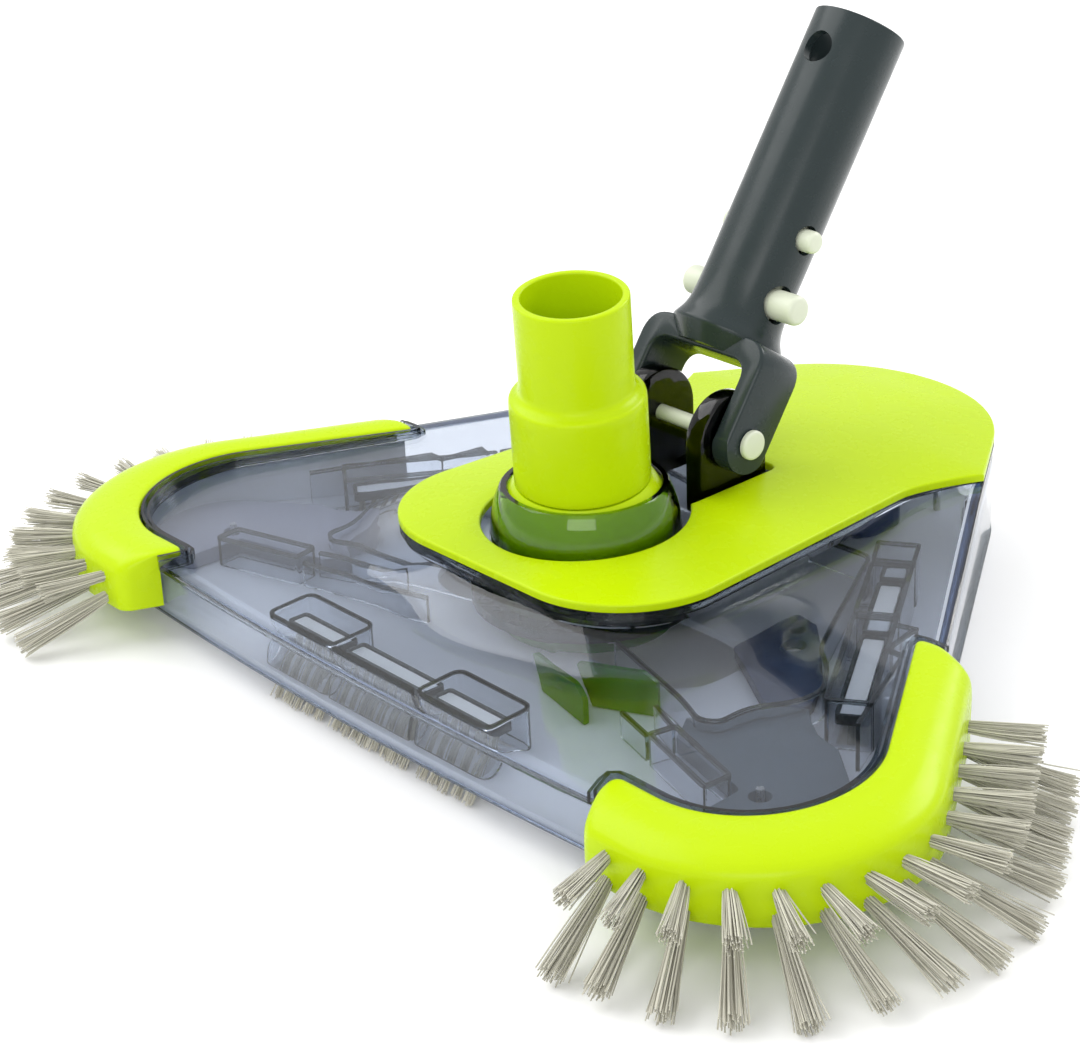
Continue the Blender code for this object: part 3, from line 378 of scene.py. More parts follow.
def corner_curve(start, corner, stop, count):
    """Points of the curve that takes a corner's place, both ends included."""
    shares = [k / count for k in range(count + 1)]
    return [start * (1 - t) ** 2 + corner * (2 * t * (1 - t)) + stop * t ** 2 for t in shares]


def rounded(points, radii, count=4):
    """Round a closed outline's corners; radii is one number or one for each corner."""
    result = []
    n = len(points)
    for i, point in enumerate(points):
        r = radii[i] if isinstance(radii, (list, tuple)) else radii
        p, a, b = Vector(point), Vector(points[i - 1]), Vector(points[(i + 1) % n])
        to_a, to_b = (a - p), (b - p)
        angle = to_a.angle(to_b)
        if r <= 0 or angle > math.radians(176):
            result.append(p)
            continue
        reach = min(r / math.tan(angle / 2), 0.48 * to_a.length, 0.48 * to_b.length)
        result += corner_curve(p + to_a.normalized() * reach, p, p + to_b.normalized() * reach, count)
    return result


def eased(points, cuts, count=3):
    """Round a closed outline's corners, each one cut back by its own length along both sides."""
    result = []
    n = len(points)
    for i, (point, cut) in enumerate(zip(points, cuts)):
        p, a, b = Vector(point), Vector(points[i - 1]), Vector(points[(i + 1) % n])
        if cut <= 0:
            result.append(p)
            continue
        start = p + (a - p).normalized() * min(cut, 0.45 * (a - p).length)
        stop = p + (b - p).normalized() * min(cut, 0.45 * (b - p).length)
        result += corner_curve(start, p, stop, count)
    return result


def arc(centre, radius, start, stop, count):
    """Points on an arc, angles in degrees, both ends included."""
    angles = [math.radians(start + (stop - start) * k / count) for k in range(count + 1)]
    return [Vector((centre[0] + radius * math.cos(a), centre[1] + radius * math.sin(a))) for a in angles]


def plate(name, loops, height, thickness, edge, spacing, crease=35.0):
    """Sheet over outlines (the outer one first, then holes), rounded at every upper edge.

    height gives the top's height at (x, y); the underside lies thickness below it.
    """
    steps = 4
    bm = bmesh.new()
    insets = [offset_loop(loop, edge if k == 0 else -edge) for k, loop in enumerate(loops)]
    for shapes, drop in ((insets, 0), (loops, thickness)):
        points, faces = fill_points(shapes, spacing)
        add_faces(bm, [(p.x, p.y, height(p.x, p.y) - drop) for p in points], faces)
    for loop, inset in zip(loops, insets):
        rings = []
        for s in range(steps + 1):
            a = math.pi / 2 * s / steps
            ring = []
            for outer, inner in zip(loop, inset):
                p = inner.lerp(outer, math.sin(a))
                z = height(inner.x, inner.y) - edge * (1 - math.cos(a))
                ring.append((p.x, p.y, z))
            rings.append(ring)
        rings.append([(p.x, p.y, height(p.x, p.y) - thickness) for p in loop])
        add_faces(bm, *skin(rings, "open"))
    return finish_mesh(name, bm, crease)


def offset_loop(loop, distance):
    """Move a closed outline inwards by a distance (outwards when negative)."""
    area = sum(a.x * b.y - b.x * a.y for a, b in zip(loop, loop[1:] + loop[:1]))
    sign = 1 if area > 0 else -1
    result = []
    n = len(loop)
    for i, p in enumerate(loop):
        run = (loop[(i + 1) % n] - loop[i - 1]).normalized()
        result.append(p + Vector((-run.y, run.x)) * distance * sign)
    return result


def both_ways(rims):
    """Stations along a sweep that ends alike, from the (place, inset) steps of its last end inwards."""
    return [(-place, inset) for place, inset in rims] + list(rims[::-1])


def inside(point, loop):
    hit = False
    for a, b in zip(loop, loop[1:] + loop[:1]):
        if (a.y > point.y) != (b.y > point.y):
            if point.x < a.x + (b.x - a.x) * (point.y - a.y) / (b.y - a.y):
                hit = not hit
    return hit


def near_loop(point, loop, distance):
    limit = distance * distance
    return any((p - point).length_squared < limit for p in loop)


def fill_points(loops, spacing):
    """Triangles over an outline with holes, with points between them on a grid."""
    points = [p.copy() for loop in loops for p in loop]
    edges = []
    start = 0
    for loop in loops:
        edges += [(start + i, start + (i + 1) % len(loop)) for i in range(len(loop))]
        start += len(loop)
    xs = [p.x for p in loops[0]]
    ys = [p.y for p in loops[0]]
    rows = int((max(ys) - min(ys)) / spacing) + 1
    columns = int((max(xs) - min(xs)) / spacing) + 1
    for r in range(1, rows):
        for c in range(columns + 1):
            p = Vector((min(xs) + (c + 0.5 * (r % 2)) * spacing, min(ys) + r * spacing))
            if not inside(p, loops[0]) or any(inside(p, hole) for hole in loops[1:]):
                continue
            if any(near_loop(p, loop, spacing * 0.6) for loop in loops):
                continue
            points.append(p)
    found, _, faces, _, _, _ = delaunay_2d_cdt(points, edges, [], 0, 1e-8)
    kept = []
    for face in faces:
        middle = sum((found[i] for i in face), Vector((0, 0))) / len(face)
        if inside(middle, loops[0]) and not any(inside(middle, hole) for hole in loops[1:]):
            kept.append(face)
    return found, kept


def wall(line, width, low, high, closed=False):
    """Upright thin wall along a plan line."""
    line = [Vector(p) for p in line]
    n = len(line)
    left, right = [], []
    for i, p in enumerate(line):
        before = line[i - 1] if (i or closed) else p
        after = line[(i + 1) % n] if (i < n - 1 or closed) else p
        a = (p - before).normalized() if (p - before).length else (after - p).normalized()
        b = (after - p).normalized() if (after - p).length else a
        run = (a + b).normalized()
        normal = Vector((-run.y, run.x)) / max(0.35, run.dot(b))
        left.append(p + normal * width / 2)
        right.append(p - normal * width / 2)
    rings = []
    for p, a, b in zip(line, left, right):
        foot, top = (level(p) if callable(level) else level for level in (low, high))
        rings.append([(a.x, a.y, foot), (a.x, a.y, top), (b.x, b.y, top), (b.x, b.y, foot)])
    return skin(rings, "loop" if closed else "caps")


def merged(name, parts, crease=35.0):
    """Several closed shapes, none touching, as one mesh."""
    verts, faces = [], []
    for part_verts, part_faces in parts:
        base = len(verts)
        verts += [tuple(v) for v in part_verts]
        faces += [tuple(i + base for i in face) for face in part_faces]
    return mesh_of(name, verts, faces, crease)


def mirrored(mesh):
    mesh.transform(Matrix.Scale(-1.0, 4, (1, 0, 0)))
    mesh.flip_normals()
    return mesh


# ---------------------------------------------------------------- outlines
def edge_z(y):
    """Height of the hood's upper edge, softened where its front run starts to climb."""
    climb = EDGE_Z0 + EDGE_SLOPE * y
    return min(EDGE_MAX_Z, EDGE_FRONT_Z + 0.0004 * math.log1p(math.exp((climb - EDGE_FRONT_Z) / 0.0004)))


def front_y(x):
    """The hood's slightly bowed front edge."""
    return FRONT_Y - FRONT_BOW * (1.0 - (x / WING_CENTRE.x) ** 2)


def nose_half(inset):
    return arc(NOSE_CENTRE, NOSE_R - inset, math.degrees(SIDE_ANGLE), 90.0, NOSE_STEPS)


def hood_half(inset):
    """Right half of the hood's outline, from the front centre round to the nose."""
    points = [Vector((WING_CENTRE.x * k / FRONT_STEPS, front_y(WING_CENTRE.x * k / FRONT_STEPS) + inset))
              for k in range(FRONT_STEPS)]
    points += arc(WING_CENTRE, WING_R - inset, -90.0, math.degrees(SIDE_ANGLE), WING_STEPS)
    start = points[-1].copy()
    stop_run = (JOIN_Y - SIDE_OFFSET * SIDE_NORMAL.y) / SIDE_RUN.y
    stop = SIDE_NORMAL * (SIDE_OFFSET - inset) + SIDE_RUN * stop_run
    points += [start.lerp(stop, k / SIDE_COUNT) for k in range(1, SIDE_COUNT + 1)]
    return points + nose_half(inset)


def cover_half(outset, nose_inset):
    """Right half of the cover's outline, point for point with hood_half."""
    corner = Vector((COVER_FRONT_HALF, COVER_FRONT_Y + COVER_CORNER_R))
    radius = COVER_CORNER_R + outset
    points = [Vector((corner.x * k / FRONT_STEPS, corner.y - radius)) for k in range(FRONT_STEPS)]
    points += arc(corner, radius, -90.0, 0.0, WING_STEPS)
    join_x = (SIDE_OFFSET - nose_inset - SIDE_NORMAL.y * JOIN_Y) / SIDE_NORMAL.x
    shoulder = corner.x + COVER_CORNER_R
    for k in range(1, SIDE_COUNT + 1):
        y = corner.y + (JOIN_Y - corner.y) * k / SIDE_COUNT
        if y <= COVER_WAIST_Y:
            part = (y - corner.y) / (COVER_WAIST_Y - corner.y)
            x = shoulder + (COVER_WAIST - shoulder) * part + outset
        else:
            part = (y - COVER_WAIST_Y) / (JOIN_Y - COVER_WAIST_Y)
            x = COVER_WAIST + outset + (join_x - COVER_WAIST - outset) * part ** 1.5
        points.append(Vector((x, y)))
    return points + nose_half(nose_inset)


def deck_half(inset=0.0):
    """Right half of the deck's outline, just inside the cover's."""
    return cover_half(-inset, 0.0020 + inset)


def full_loop(half):
    """Closed outline from a right half."""
    last = Vector((0.0, half[-1].y))
    return half[:-1] + [last] + [Vector((-p.x, p.y)) for p in reversed(half[1:-1])]


def raise_loop(half, heights):
    """Closed ring in space from a right half and its heights."""
    ring = full_loop(half)
    tops = list(heights) + list(reversed(list(heights)[1:-1]))
    return [(p.x, p.y, z) for p, z in zip(ring, tops)]


# ---------------------------------------------------------------- smoked hood
def skin_shape(t, way):
    """Fall of the hood's top from the cover's foot (0) to its edge (1): flare, fold, then nearly flat."""
    band = min(0.55 * way, FLARE_WIDE) / way
    ramp = 0.07 * math.log1p(math.exp((1 - t / band) / 0.07))
    return 0.32 * (1 - t) + 0.68 * min(1.0, ramp) ** 1.25


def skin_height(deck, rim, t):
    top = edge_z(rim.y)
    foot = max(FOOT_Z, top + GAP)
    return top + (foot - top) * skin_shape(t, max(0.004, (rim - deck).length))


def hood_top(p):
    """Height of the hood's top skin at a plan point, by the nearest of its own lines."""
    deck, rim = deck_half(0.0), hood_half(0.0)
    best, height = 1e9, EDGE_FRONT_Z
    for a, b in zip(deck, rim):
        way = b - a
        t = min(1.0, max(0.0, (p - a).dot(way) / way.length_squared))
        gap = (a.lerp(b, t) - p).length
        if gap < best:
            best, height = gap, skin_height(a, b, t)
    return height


def skin_ring(t, drop):
    """One ring of the top skin, from the cover's foot (0) to the outer edge (1)."""
    deck, rim = deck_half(drop), hood_half(drop)
    half = [a.lerp(b, t) for a, b in zip(deck, rim)]
    return raise_loop(half, [skin_height(a, b, t) - drop for a, b in zip(deck, rim)])


def hood_mesh():
    """Closed shell: deck, flared top, wall and foot, then the same rings back on the inside."""
    rim = hood_half(0.0)
    tops = [edge_z(p.y) for p in rim]
    count = len(rim)

    def level(half, z):
        return raise_loop(half, [z] * count)

    def well(z):
        half = []
        for p in deck_half():
            turn = math.atan2(p.x, -p.y)
            half.append(Vector((WELL_R * math.sin(turn), -WELL_R * math.cos(turn))))
        return level(half, z)

    def at_rim(inset, drop):
        return raise_loop(hood_half(inset), [z - drop for z in tops])

    under = DECK_Z - SKIN_T
    rings = [well(DECK_Z), level(deck_half(0.0010), DECK_Z), level(deck_half(0.0003), DECK_Z - 0.0003),
             level(deck_half(), DECK_Z - 0.0010)]
    shares = (0, 0.02, 0.05, 0.09, 0.13, 0.17, 0.21, 0.25, 0.29, 0.33, 0.37, 0.41, 0.45, 0.5, 0.56, 0.64,
              0.76, 0.9)
    rings += [skin_ring(t, 0.0) for t in shares]
    rings += [at_rim(0.0003, 0.0), at_rim(0.0001, 0.00004), at_rim(0.0, 0.0003)]
    rings += [level(hood_half(0.0), 0.0006), level(hood_half(0.0005), 0.0),
              level(hood_half(SKIN_T - 0.0005), 0.0), level(hood_half(SKIN_T), 0.0006)]
    rings += [at_rim(SKIN_T, SKIN_T + 0.0008), at_rim(SKIN_T + 0.0008, SKIN_T)]
    rings += [skin_ring(t, SKIN_T) for t in reversed(shares)]
    rings += [level(deck_half(SKIN_T), under - 0.0008), level(deck_half(SKIN_T + 0.0008), under), well(under)]
    return mesh_of("hood_shell", *skin(rings, "loop"), 40.0)


def make_hood_lips():
    """Dark beads the wall carries along its upper corner and its foot."""
    rim = full_loop(hood_half(0.0002))
    for word in ("upper", "lower"):
        rings = []
        for i, p in enumerate(rim):
            run = (rim[(i + 1) % len(rim)] - rim[i - 1]).normalized()
            out = p + Vector((run.y, -run.x)) * 0.0005
            low, high = (edge_z(p.y) - 0.0013, edge_z(p.y) - 0.0001) if word == "upper" else (0.0004, 0.0012)
            rings.append([(out.x, out.y, low), (p.x, p.y, low), (p.x, p.y, high),
                          (out.x, out.y, high - 0.0002)])
        piece(f"hood_lip_{word}", merged("lip", [skin(rings, "loop")]), SMOKE_LUG, "head")


def make_deck_band():
    """Dark band between the hood's top and the cover's lip: the smoked step there, darkened as painted shade
    for the shadow the lip casts.
    """
    line = full_loop(cover_half(0.0006, 0.0014))
    band = wall(line, 0.0008, lambda p: min(hood_top(Vector((abs(p.x), p.y))) + 0.0022, DECK_Z - 0.0010),
                COVER_EDGE_Z - 0.0024, True)
    # painted shade: this dark smoked sheet stands in for the shadow under the cover's lip as well as the step
    # itself
    piece("deck_band_painted_shade", merged("deck_band_painted_shade", [band]), SMOKE_LUG, "head")


def sphere_arc(radius, high, low, steps):
    """(radius, height) points on a sphere, from its upper cut to its lower one."""
    start, stop = math.acos(high / radius), math.acos(low / radius)
    angles = [start + (stop - start) * k / steps for k in range(steps + 1)]
    return [(radius * math.sin(a), radius * math.cos(a)) for a in angles]


def make_hood():
    piece("hood_shell", hood_mesh(), SMOKE, "head", ["smoked_hood"])
    outer = sphere_arc(SOCKET_OUT_R, SOCKET_CUT, 0.0, 16)
    inner = sphere_arc(SOCKET_IN_R, SOCKET_CUT, 0.0, 16)[::-1]
    rim = [(inner[-1][0] + 0.0004, 0.0129), (outer[0][0] - 0.0004, 0.0129)]
    foot = SOCKET_FOOT_Z - BALL_Z
    profile = outer + [(SOCKET_OUT_R, foot), (SOCKET_IN_R, foot)] + inner + rim
    socket = turned("ball_socket", profile, 128)
    piece("ball_socket", socket, SMOKE_DOME, "head", place=Matrix.Translation((0, 0, BALL_Z)))


def lug_mesh():
    """One clevis lug in (Y, Z), swept across X, with rounded rims."""
    low = DECK_Z + 0.00005
    outline = [Vector((HINGE.y - LUG_R, low)), Vector((HINGE.y + LUG_R, low))]
    outline += arc((HINGE.y, HINGE.z), LUG_R, 0, 180, 40)
    hole = arc((HINGE.y, HINGE.z), PIN_R, 0, 360, 32)[:-1]
    edge = 0.0009
    rims = ((LUG_HALF, edge), (LUG_HALF - 0.0002, 0.0003), (LUG_HALF - edge, 0.0))
    rings = [[(x, p.x, max(p.y, low)) for p in offset_loop(outline, inset)] for x, inset in both_ways(rims)]
    bm = bmesh.new()
    add_faces(bm, *skin(rings, "open"))
    add_faces(bm, *skin([[(x, p.x, p.y) for p in hole] for x in (-LUG_HALF, LUG_HALF)], "open"))
    for x in (-LUG_HALF, LUG_HALF):
        loop = [Vector((p.x, max(p.y, low))) for p in offset_loop(outline, edge)]
        points, faces = fill_points([loop, hole], 0.004)
        add_faces(bm, [(x, p.x, p.y) for p in points], faces)
    return finish_mesh("lug", bm, 40.0)


def make_lugs():
    for side, word in SIDES:
        place = Matrix.Translation((side * LUG_X, 0, 0))
        piece(f"clevis_lug_{word}", lug_mesh(), SMOKE_LUG, "head", place=place)


# ---------------------------------------------------------------- lime cover
def cover_height(outline):
    """Height of the cover's top: crowned along its middle, falling to its edge."""
    segments = list(zip(outline, outline[1:] + outline[:1]))

    def height(x, y):
        p = Vector((x, y))
        spine = Vector((0.0, min(max(y, -0.0250), 0.1300)))
        way = p - spine
        if way.length < 1e-6:
            share = 0.0
        else:
            reach = 0.0
            for a, b in segments:
                run = b - a
                cross = way.x * run.y - way.y * run.x
                if abs(cross) < 1e-14:
                    continue
                off = a - spine
                t = (off.x * run.y - off.y * run.x) / cross
                u = (off.x * way.y - off.y * way.x) / cross
                if t > 0 and -1e-6 <= u <= 1 + 1e-6:
                    reach = max(reach, t)
            share = min(1.0, 1.0 / reach) if reach else 1.0
        rise = math.sin(math.pi * min(max((y - COVER_FRONT_Y) / CROWN_LENGTH, 0.0), 1.0)) ** 0.8
        return COVER_EDGE_Z + CROWN * rise * (1.0 - share ** 2)

    return height


def make_cover():
    """Cover with one opening: the ball's round hole, run into the notch for the lugs."""
    outline = full_loop(cover_half(COVER_LIP, -GAP))
    x, high = 0.0192, 0.0572
    turn = math.degrees(math.asin(0.0190 / COVER_HOLE_R))
    notch = [(-x, 0.0245), (-x, high - 0.002), (-x + 0.0006, high - 0.0006), (-x + 0.002, high),
             (x - 0.002, high), (x - 0.0006, high - 0.0006), (x, high - 0.002), (x, 0.0245)]
    mouth = arc((0, 0), COVER_HOLE_R, 90 - turn, -270 + turn, 90) + [Vector(p) for p in notch]
    mesh = plate("cover_skin", [outline, mouth[::-1]], cover_height(outline), 0.0022, 0.0007, 0.0040)
    piece("cover_skin", mesh, LIME, "head", ["top_cover"])


# ---------------------------------------------------------------- bumpers
def band_line(centre, radius, tip_x, tip_run):
    """One long edge of a right bumper: front tip, corner arc, far tip, in even steps."""
    points = [Vector((tip_x, centre.y - radius))]
    points += arc(centre, radius, -90.0, math.degrees(SIDE_ANGLE), ARC_COUNT)
    reach = SIDE_NORMAL.dot(centre) + radius
    points.append(SIDE_NORMAL * reach + SIDE_RUN * tip_run)
    return points


def at_share(line, share):
    """Which stretch of a plan line holds a share of its length, and the part of that stretch before it."""
    lengths = [0.0]
    for a, b in zip(line, line[1:]):
        lengths.append(lengths[-1] + (b - a).length)
    goal = share * lengths[-1]
    k = next((i for i in range(1, len(line)) if lengths[i] >= goal - 1e-9), len(line) - 1)
    return k, (goal - lengths[k - 1]) / max(1e-9, lengths[k] - lengths[k - 1])


def spaced(line, shares):
    """Points at shares of a plan line's length."""
    return [line[k - 1].lerp(line[k], part) for k, part in (at_share(line, share) for share in shares)]


def bumper_stations():
    """Inner point, outer point and distance from the nearer tip, from the front tip to the far one."""
    inner = band_line(*BUMPER_IN, BUMPER_TIP_X[0], BUMPER_TIP_RUN[0])
    outer = band_line(*BUMPER_OUT, BUMPER_TIP_X[1], BUMPER_TIP_RUN[1])
    length = sum((b - a).length for a, b in zip(outer, outer[1:]))
    near = [TIP_ROUND * (1 - math.cos(math.pi / 2 * k / 9)) / length for k in range(10)]
    middle = [near[-1] + (1 - 2 * near[-1]) * k / 84 for k in range(1, 84)]
    shares = near + middle + [1 - s for s in reversed(near)]
    stations = []
    for share in shares:
        k, part = at_share(outer, share)
        stations.append((inner[k - 1].lerp(inner[k], part), outer[k - 1].lerp(outer[k], part),
                         min(share, 1 - share) * length))
    return stations


def bumper_top(y):
    return BUMPER_Z0 + BUMPER_SLOPE * y


def wall_point(inner, outer):
    """Where the hood's wall crosses the line from inner to outer."""
    low, high = 0.0, 1.0
    for _ in range(24):
        middle = (low + high) / 2
        p = inner.lerp(outer, middle)
        if beyond_wall(p):
            high = middle
        else:
            low = middle
    return inner.lerp(outer, high)


def beyond_wall(p):
    """Whether a plan point lies outside the hood's wall."""
    limit = WING_R + 0.0004
    if p.y < WING_CENTRE.y and p.x < WING_CENTRE.x:
        return p.y < front_y(p.x) - 0.0004
    if SIDE_RUN.dot(p - WING_CENTRE) > 0:
        return SIDE_NORMAL.dot(p - WING_CENTRE) > limit
    return (p - WING_CENTRE).length > limit


def bumper_ring(inner, outer, reach):
    """Closed section of a bumper at one station, drawn in across the band and rounded towards a tip."""
    across = (outer - inner).normalized()
    width = (outer - inner).length
    fade = min(1.0, reach / TIP_ROUND)
    shrink = TIP_ROUND * (1 - math.sqrt(max(0.0, 1 - (1 - fade) ** 2)))
    crossing = wall_point(inner, outer)
    wall_at = (crossing - inner).dot(across)
    top = bumper_top((inner.y + outer.y) / 2)
    rim = edge_z(crossing.y)
    skin_z = rim + (0.0023 if crossing.y < -0.070 else 0.0012)
    near, far = min(shrink, wall_at * 0.45), width - shrink
    back = min(wall_at, far - 0.001)
    lower = 0.28 * shrink
    foot = BUMPER_FOOT + 0.5 * lower
    crown = 0.0005
    section = [
        (near, skin_z + GAP), (near, top - 0.0006 - lower), (near + 0.0009, top - lower),
        (near + (far - near) * 0.4, top + crown - lower), (far - 0.0046, top - 0.0011 - lower),
        (far - 0.0008, top - 0.0036 - lower), (far, top - 0.0070 - lower), (far - 0.0002, foot),
        (back, foot), (back, rim + GAP),
    ]
    cuts = [0.0, 0.0004, 0.0012, 0.004, 0.0030, 0.0020, 0.0030, 0.0009, 0.0, 0.0]
    return [(inner.x + across.x * s, inner.y + across.y * s, z) for s, z in eased(section, cuts)]


def make_bumpers():
    for side in ("right", "left"):
        rings = [bumper_ring(*station) for station in bumper_stations()]
        mesh = mesh_of(f"bumper_skin_{side}", *skin(rings, "caps"), 50.0)
        if side == "left":
            mirrored(mesh)
        piece(f"bumper_skin_{side}", mesh, LIME, "head", [f"bumper_{side}"])


# ---------------------------------------------------------------- bristles
def filament(bm, root, tip, radius, sag, sides=5, steps=4):
    """One nylon filament: a thin tube with a slight bow and a blunt end."""
    along = (tip - root).normalized()
    across = along.cross(Vector((0.3, 0.2, 0.9))).normalized()
    up = along.cross(across)
    rows = []
    for s in range(steps + 1):
        t = s / steps
        middle = root.lerp(tip, t) + sag * (4 * t * (1 - t))
        r = radius * (1.0 - 0.12 * t)
        rows.append([bm.verts.new(middle + across * (r * math.cos(2 * math.pi * k / sides))
                                  + up * (r * math.sin(2 * math.pi * k / sides))) for k in range(sides)])
    for low, high in zip(rows, rows[1:]):
        for k in range(sides):
            j = (k + 1) % sides
            bm.faces.new((low[k], low[j], high[j], high[k]))
    bm.faces.new(rows[0][::-1])
    bm.faces.new(rows[-1])


def tuft(bm, dice, root, heading, length, root_r, tip_r, count, radius, stray=0.10):
    """A bundle of filaments from one hole, spreading towards a flat cut end."""
    side = heading.cross(Vector((0, 0, 1)) if abs(heading.z) < 0.9 else Vector((1, 0, 0))).normalized()
    lift = side.cross(heading)
    for k in range(count):
        r = math.sqrt((k + 0.5) / count)
        a = k * 2.39996 + dice.uniform(-0.2, 0.2)
        spot = side * (r * math.cos(a)) + lift * (r * math.sin(a))
        start = root + spot * root_r - heading * 0.0015
        wide = tip_r * (1.0 + dice.uniform(-0.12, 0.12))
        reach = length * (1.0 + dice.uniform(-0.05, 0.03))
        if dice.random() < stray:
            wide *= 1.35
        tip = root + heading * reach + spot * wide
        tip.z = max(tip.z, FLOOR_Z + 0.0004)
        sag = spot * dice.uniform(-0.0006, 0.0004) + lift * dice.uniform(-0.0005, 0.0003)
        filament(bm, start, tip, radius * dice.uniform(0.85, 1.1), sag)


def row_places():
    """Root and plan heading of each tuft of a row on the right bumper."""
    line = [outer for _, outer, _ in bumper_stations()]
    result = []
    for k in range(TUFTS_PER_ROW):
        share = 0.055 + 0.89 * k / (TUFTS_PER_ROW - 1)
        behind, spot, ahead = spaced(line, [share - 0.01, share, share + 0.01])
        run = (ahead - behind).normalized()
        out = Vector((run.y, -run.x))
        normal = math.atan2(out.y, out.x)
        fan = (normal + math.pi / 2) / (SIDE_ANGLE + math.pi / 2)
        turn = TUFT_FAN[0] + (TUFT_FAN[1] - TUFT_FAN[0]) * fan
        result.append((spot - out * 0.0004, Vector((math.cos(turn), math.sin(turn)))))
    return result


def make_tufts():
    for side in ("right", "left"):
        for row, height, reach, drop, root_r, tip_r, count in TUFT_ROWS:
            dice = random.Random(f"{side} {row}")
            bm = bmesh.new()
            for spot, plan in row_places():
                wobble = Vector((dice.uniform(-0.05, 0.05), dice.uniform(-0.05, 0.05)))
                plan = (plan + wobble).normalized()
                way = Vector((plan.x * reach, plan.y * reach, -drop * dice.uniform(0.8, 1.1)))
                tuft(bm, dice, Vector((spot.x, spot.y, height)), way.normalized(), way.length, root_r, tip_r,
                     count, FILAMENT_R)
            mesh = finish_mesh(f"tufts_{side}_{row}", bm, 60.0)
            if side == "left":
                mirrored(mesh)
            piece(f"tufts_{side}_{row}", mesh, BRISTLE, "head", [f"brush_row_{side}_{row}"])


# ---------------------------------------------------------------- ball and hose cuff
def frame_on(origin, along, across=(1, 0, 0)):
    """Frame at an origin whose Z runs along a direction."""
    z = Vector(along).normalized()
    x = Vector(across)
    x = (x - z * x.dot(z)).normalized()
    made = Matrix((x, z.cross(x), z)).transposed().to_4x4()
    made.translation = origin
    return made


CUFF_FRAME = frame_on((0, 0, BALL_Z), CUFF_AXIS)
HANDLE_FRAME = Matrix.Translation(HINGE) @ Matrix.Rotation(-HANDLE_LEAN, 4, "X")


def make_ball_and_cuff():
    """Ball, cut flat above and below, and the cuff with its two hose steps and its stem."""
    ball = sphere_arc(BALL_R, 0.0153, -0.0150, 40) + [(0.0169, -0.0150), (0.0169, 0.0153)]
    piece("ball_skin", turned("ball_skin", ball, 128), LIME, "ball", ["swivel_ball"], CUFF_FRAME)
    top, bore = CUFF_TOP_H, 0.0138
    foot, seat = -0.0177, 0.0156
    corners = [(bore, top), (0.0160, top), (0.0160, 0.0437), (0.0172, 0.0424), (0.0190, 0.0416),
               (0.0192, 0.0395), (0.0192, seat), (0.0166, seat), (0.0166, foot), (0.0144, foot),
               (0.0144, 0.0382), (bore, 0.0422)]
    cuts = [0.0007, 0.0008, 0.0012, 0.0008, 0.0008, 0.0010, 0.0006, 0.0, 0.0003, 0.0003, 0.001, 0.001]
    profile = [(p.x, p.y) for p in eased(corners, cuts, 5)]
    piece("cuff_skin", turned("cuff_skin", profile, 160, 50.0), LIME, "cuff", ["hose_cuff"], CUFF_FRAME)


# ---------------------------------------------------------------- pole handle and its clip
def boolean(item, other, how):
    cut = item.modifiers.new(other.name, "BOOLEAN")
    cut.operation = how
    cut.solver = "EXACT"
    cut.object = other


def loose(name, mesh):
    made = bpy.data.objects.new(name, mesh)
    bpy.context.scene.collection.objects.link(made)
    return made


def cylinder_along(name, radius, half, centre, along, steps=48):
    rings = [[(radius * math.cos(2 * math.pi * k / steps), radius * math.sin(2 * math.pi * k / steps), z)
              for k in range(steps)] for z in (-half, half)]
    mesh = mesh_of(name, *skin(rings))
    mesh.transform(frame_on(centre, along, (0, 0, 1) if abs(along[2]) < 0.5 else (1, 0, 0)))
    return mesh


def fork_mesh():
    """Yoke: an arch in (X, height) with rounded shoulders, swept over its depth with soft rims."""
    out_x, in_x, depth = 0.0242, 0.0182, FORK_DEPTH
    top, under, low = 0.0275, 0.0205, -0.0095
    outer = [(out_x, low), (out_x, top), (-out_x, top), (-out_x, low)]
    inner = [(-in_x, low), (-in_x, under), (in_x, under), (in_x, low)]
    outline = eased(outer + inner, [0, 0.0085, 0.0085, 0, 0, 0.0055, 0.0055, 0], 10)
    outline = densify(outline, 0.0015)
    edge = 0.0012
    rims = ((depth, edge), (depth - 0.00025, 0.0005), (depth - 0.0006, 0.00018), (depth - edge, 0.0))
    rings = [[(p.x, y, p.y) for p in offset_loop(outline, inset)] for y, inset in both_ways(rims)]
    return mesh_of("fork", *skin(rings), 40.0)


def densify(loop, step):
    """Split a closed outline's sides into steps."""
    result = []
    for a, b in zip(loop, loop[1:] + loop[:1]):
        count = max(1, int((b - a).length / step))
        result += [a.lerp(b, k / count) for k in range(count)]
    return result


def applied(item, crease):
    """The item's mesh with its modifiers applied and its edges sharp past crease; item and cutters go."""
    bpy.context.view_layer.update()
    done = item.evaluated_get(bpy.context.evaluated_depsgraph_get())
    mesh = bpy.data.meshes.new_from_object(done)
    for cut in [m.object for m in item.modifiers if m.type == "BOOLEAN"]:
        bpy.data.objects.remove(cut)
    bpy.data.objects.remove(item)
    mesh.materials.clear()
    return smoothed(mesh, crease)


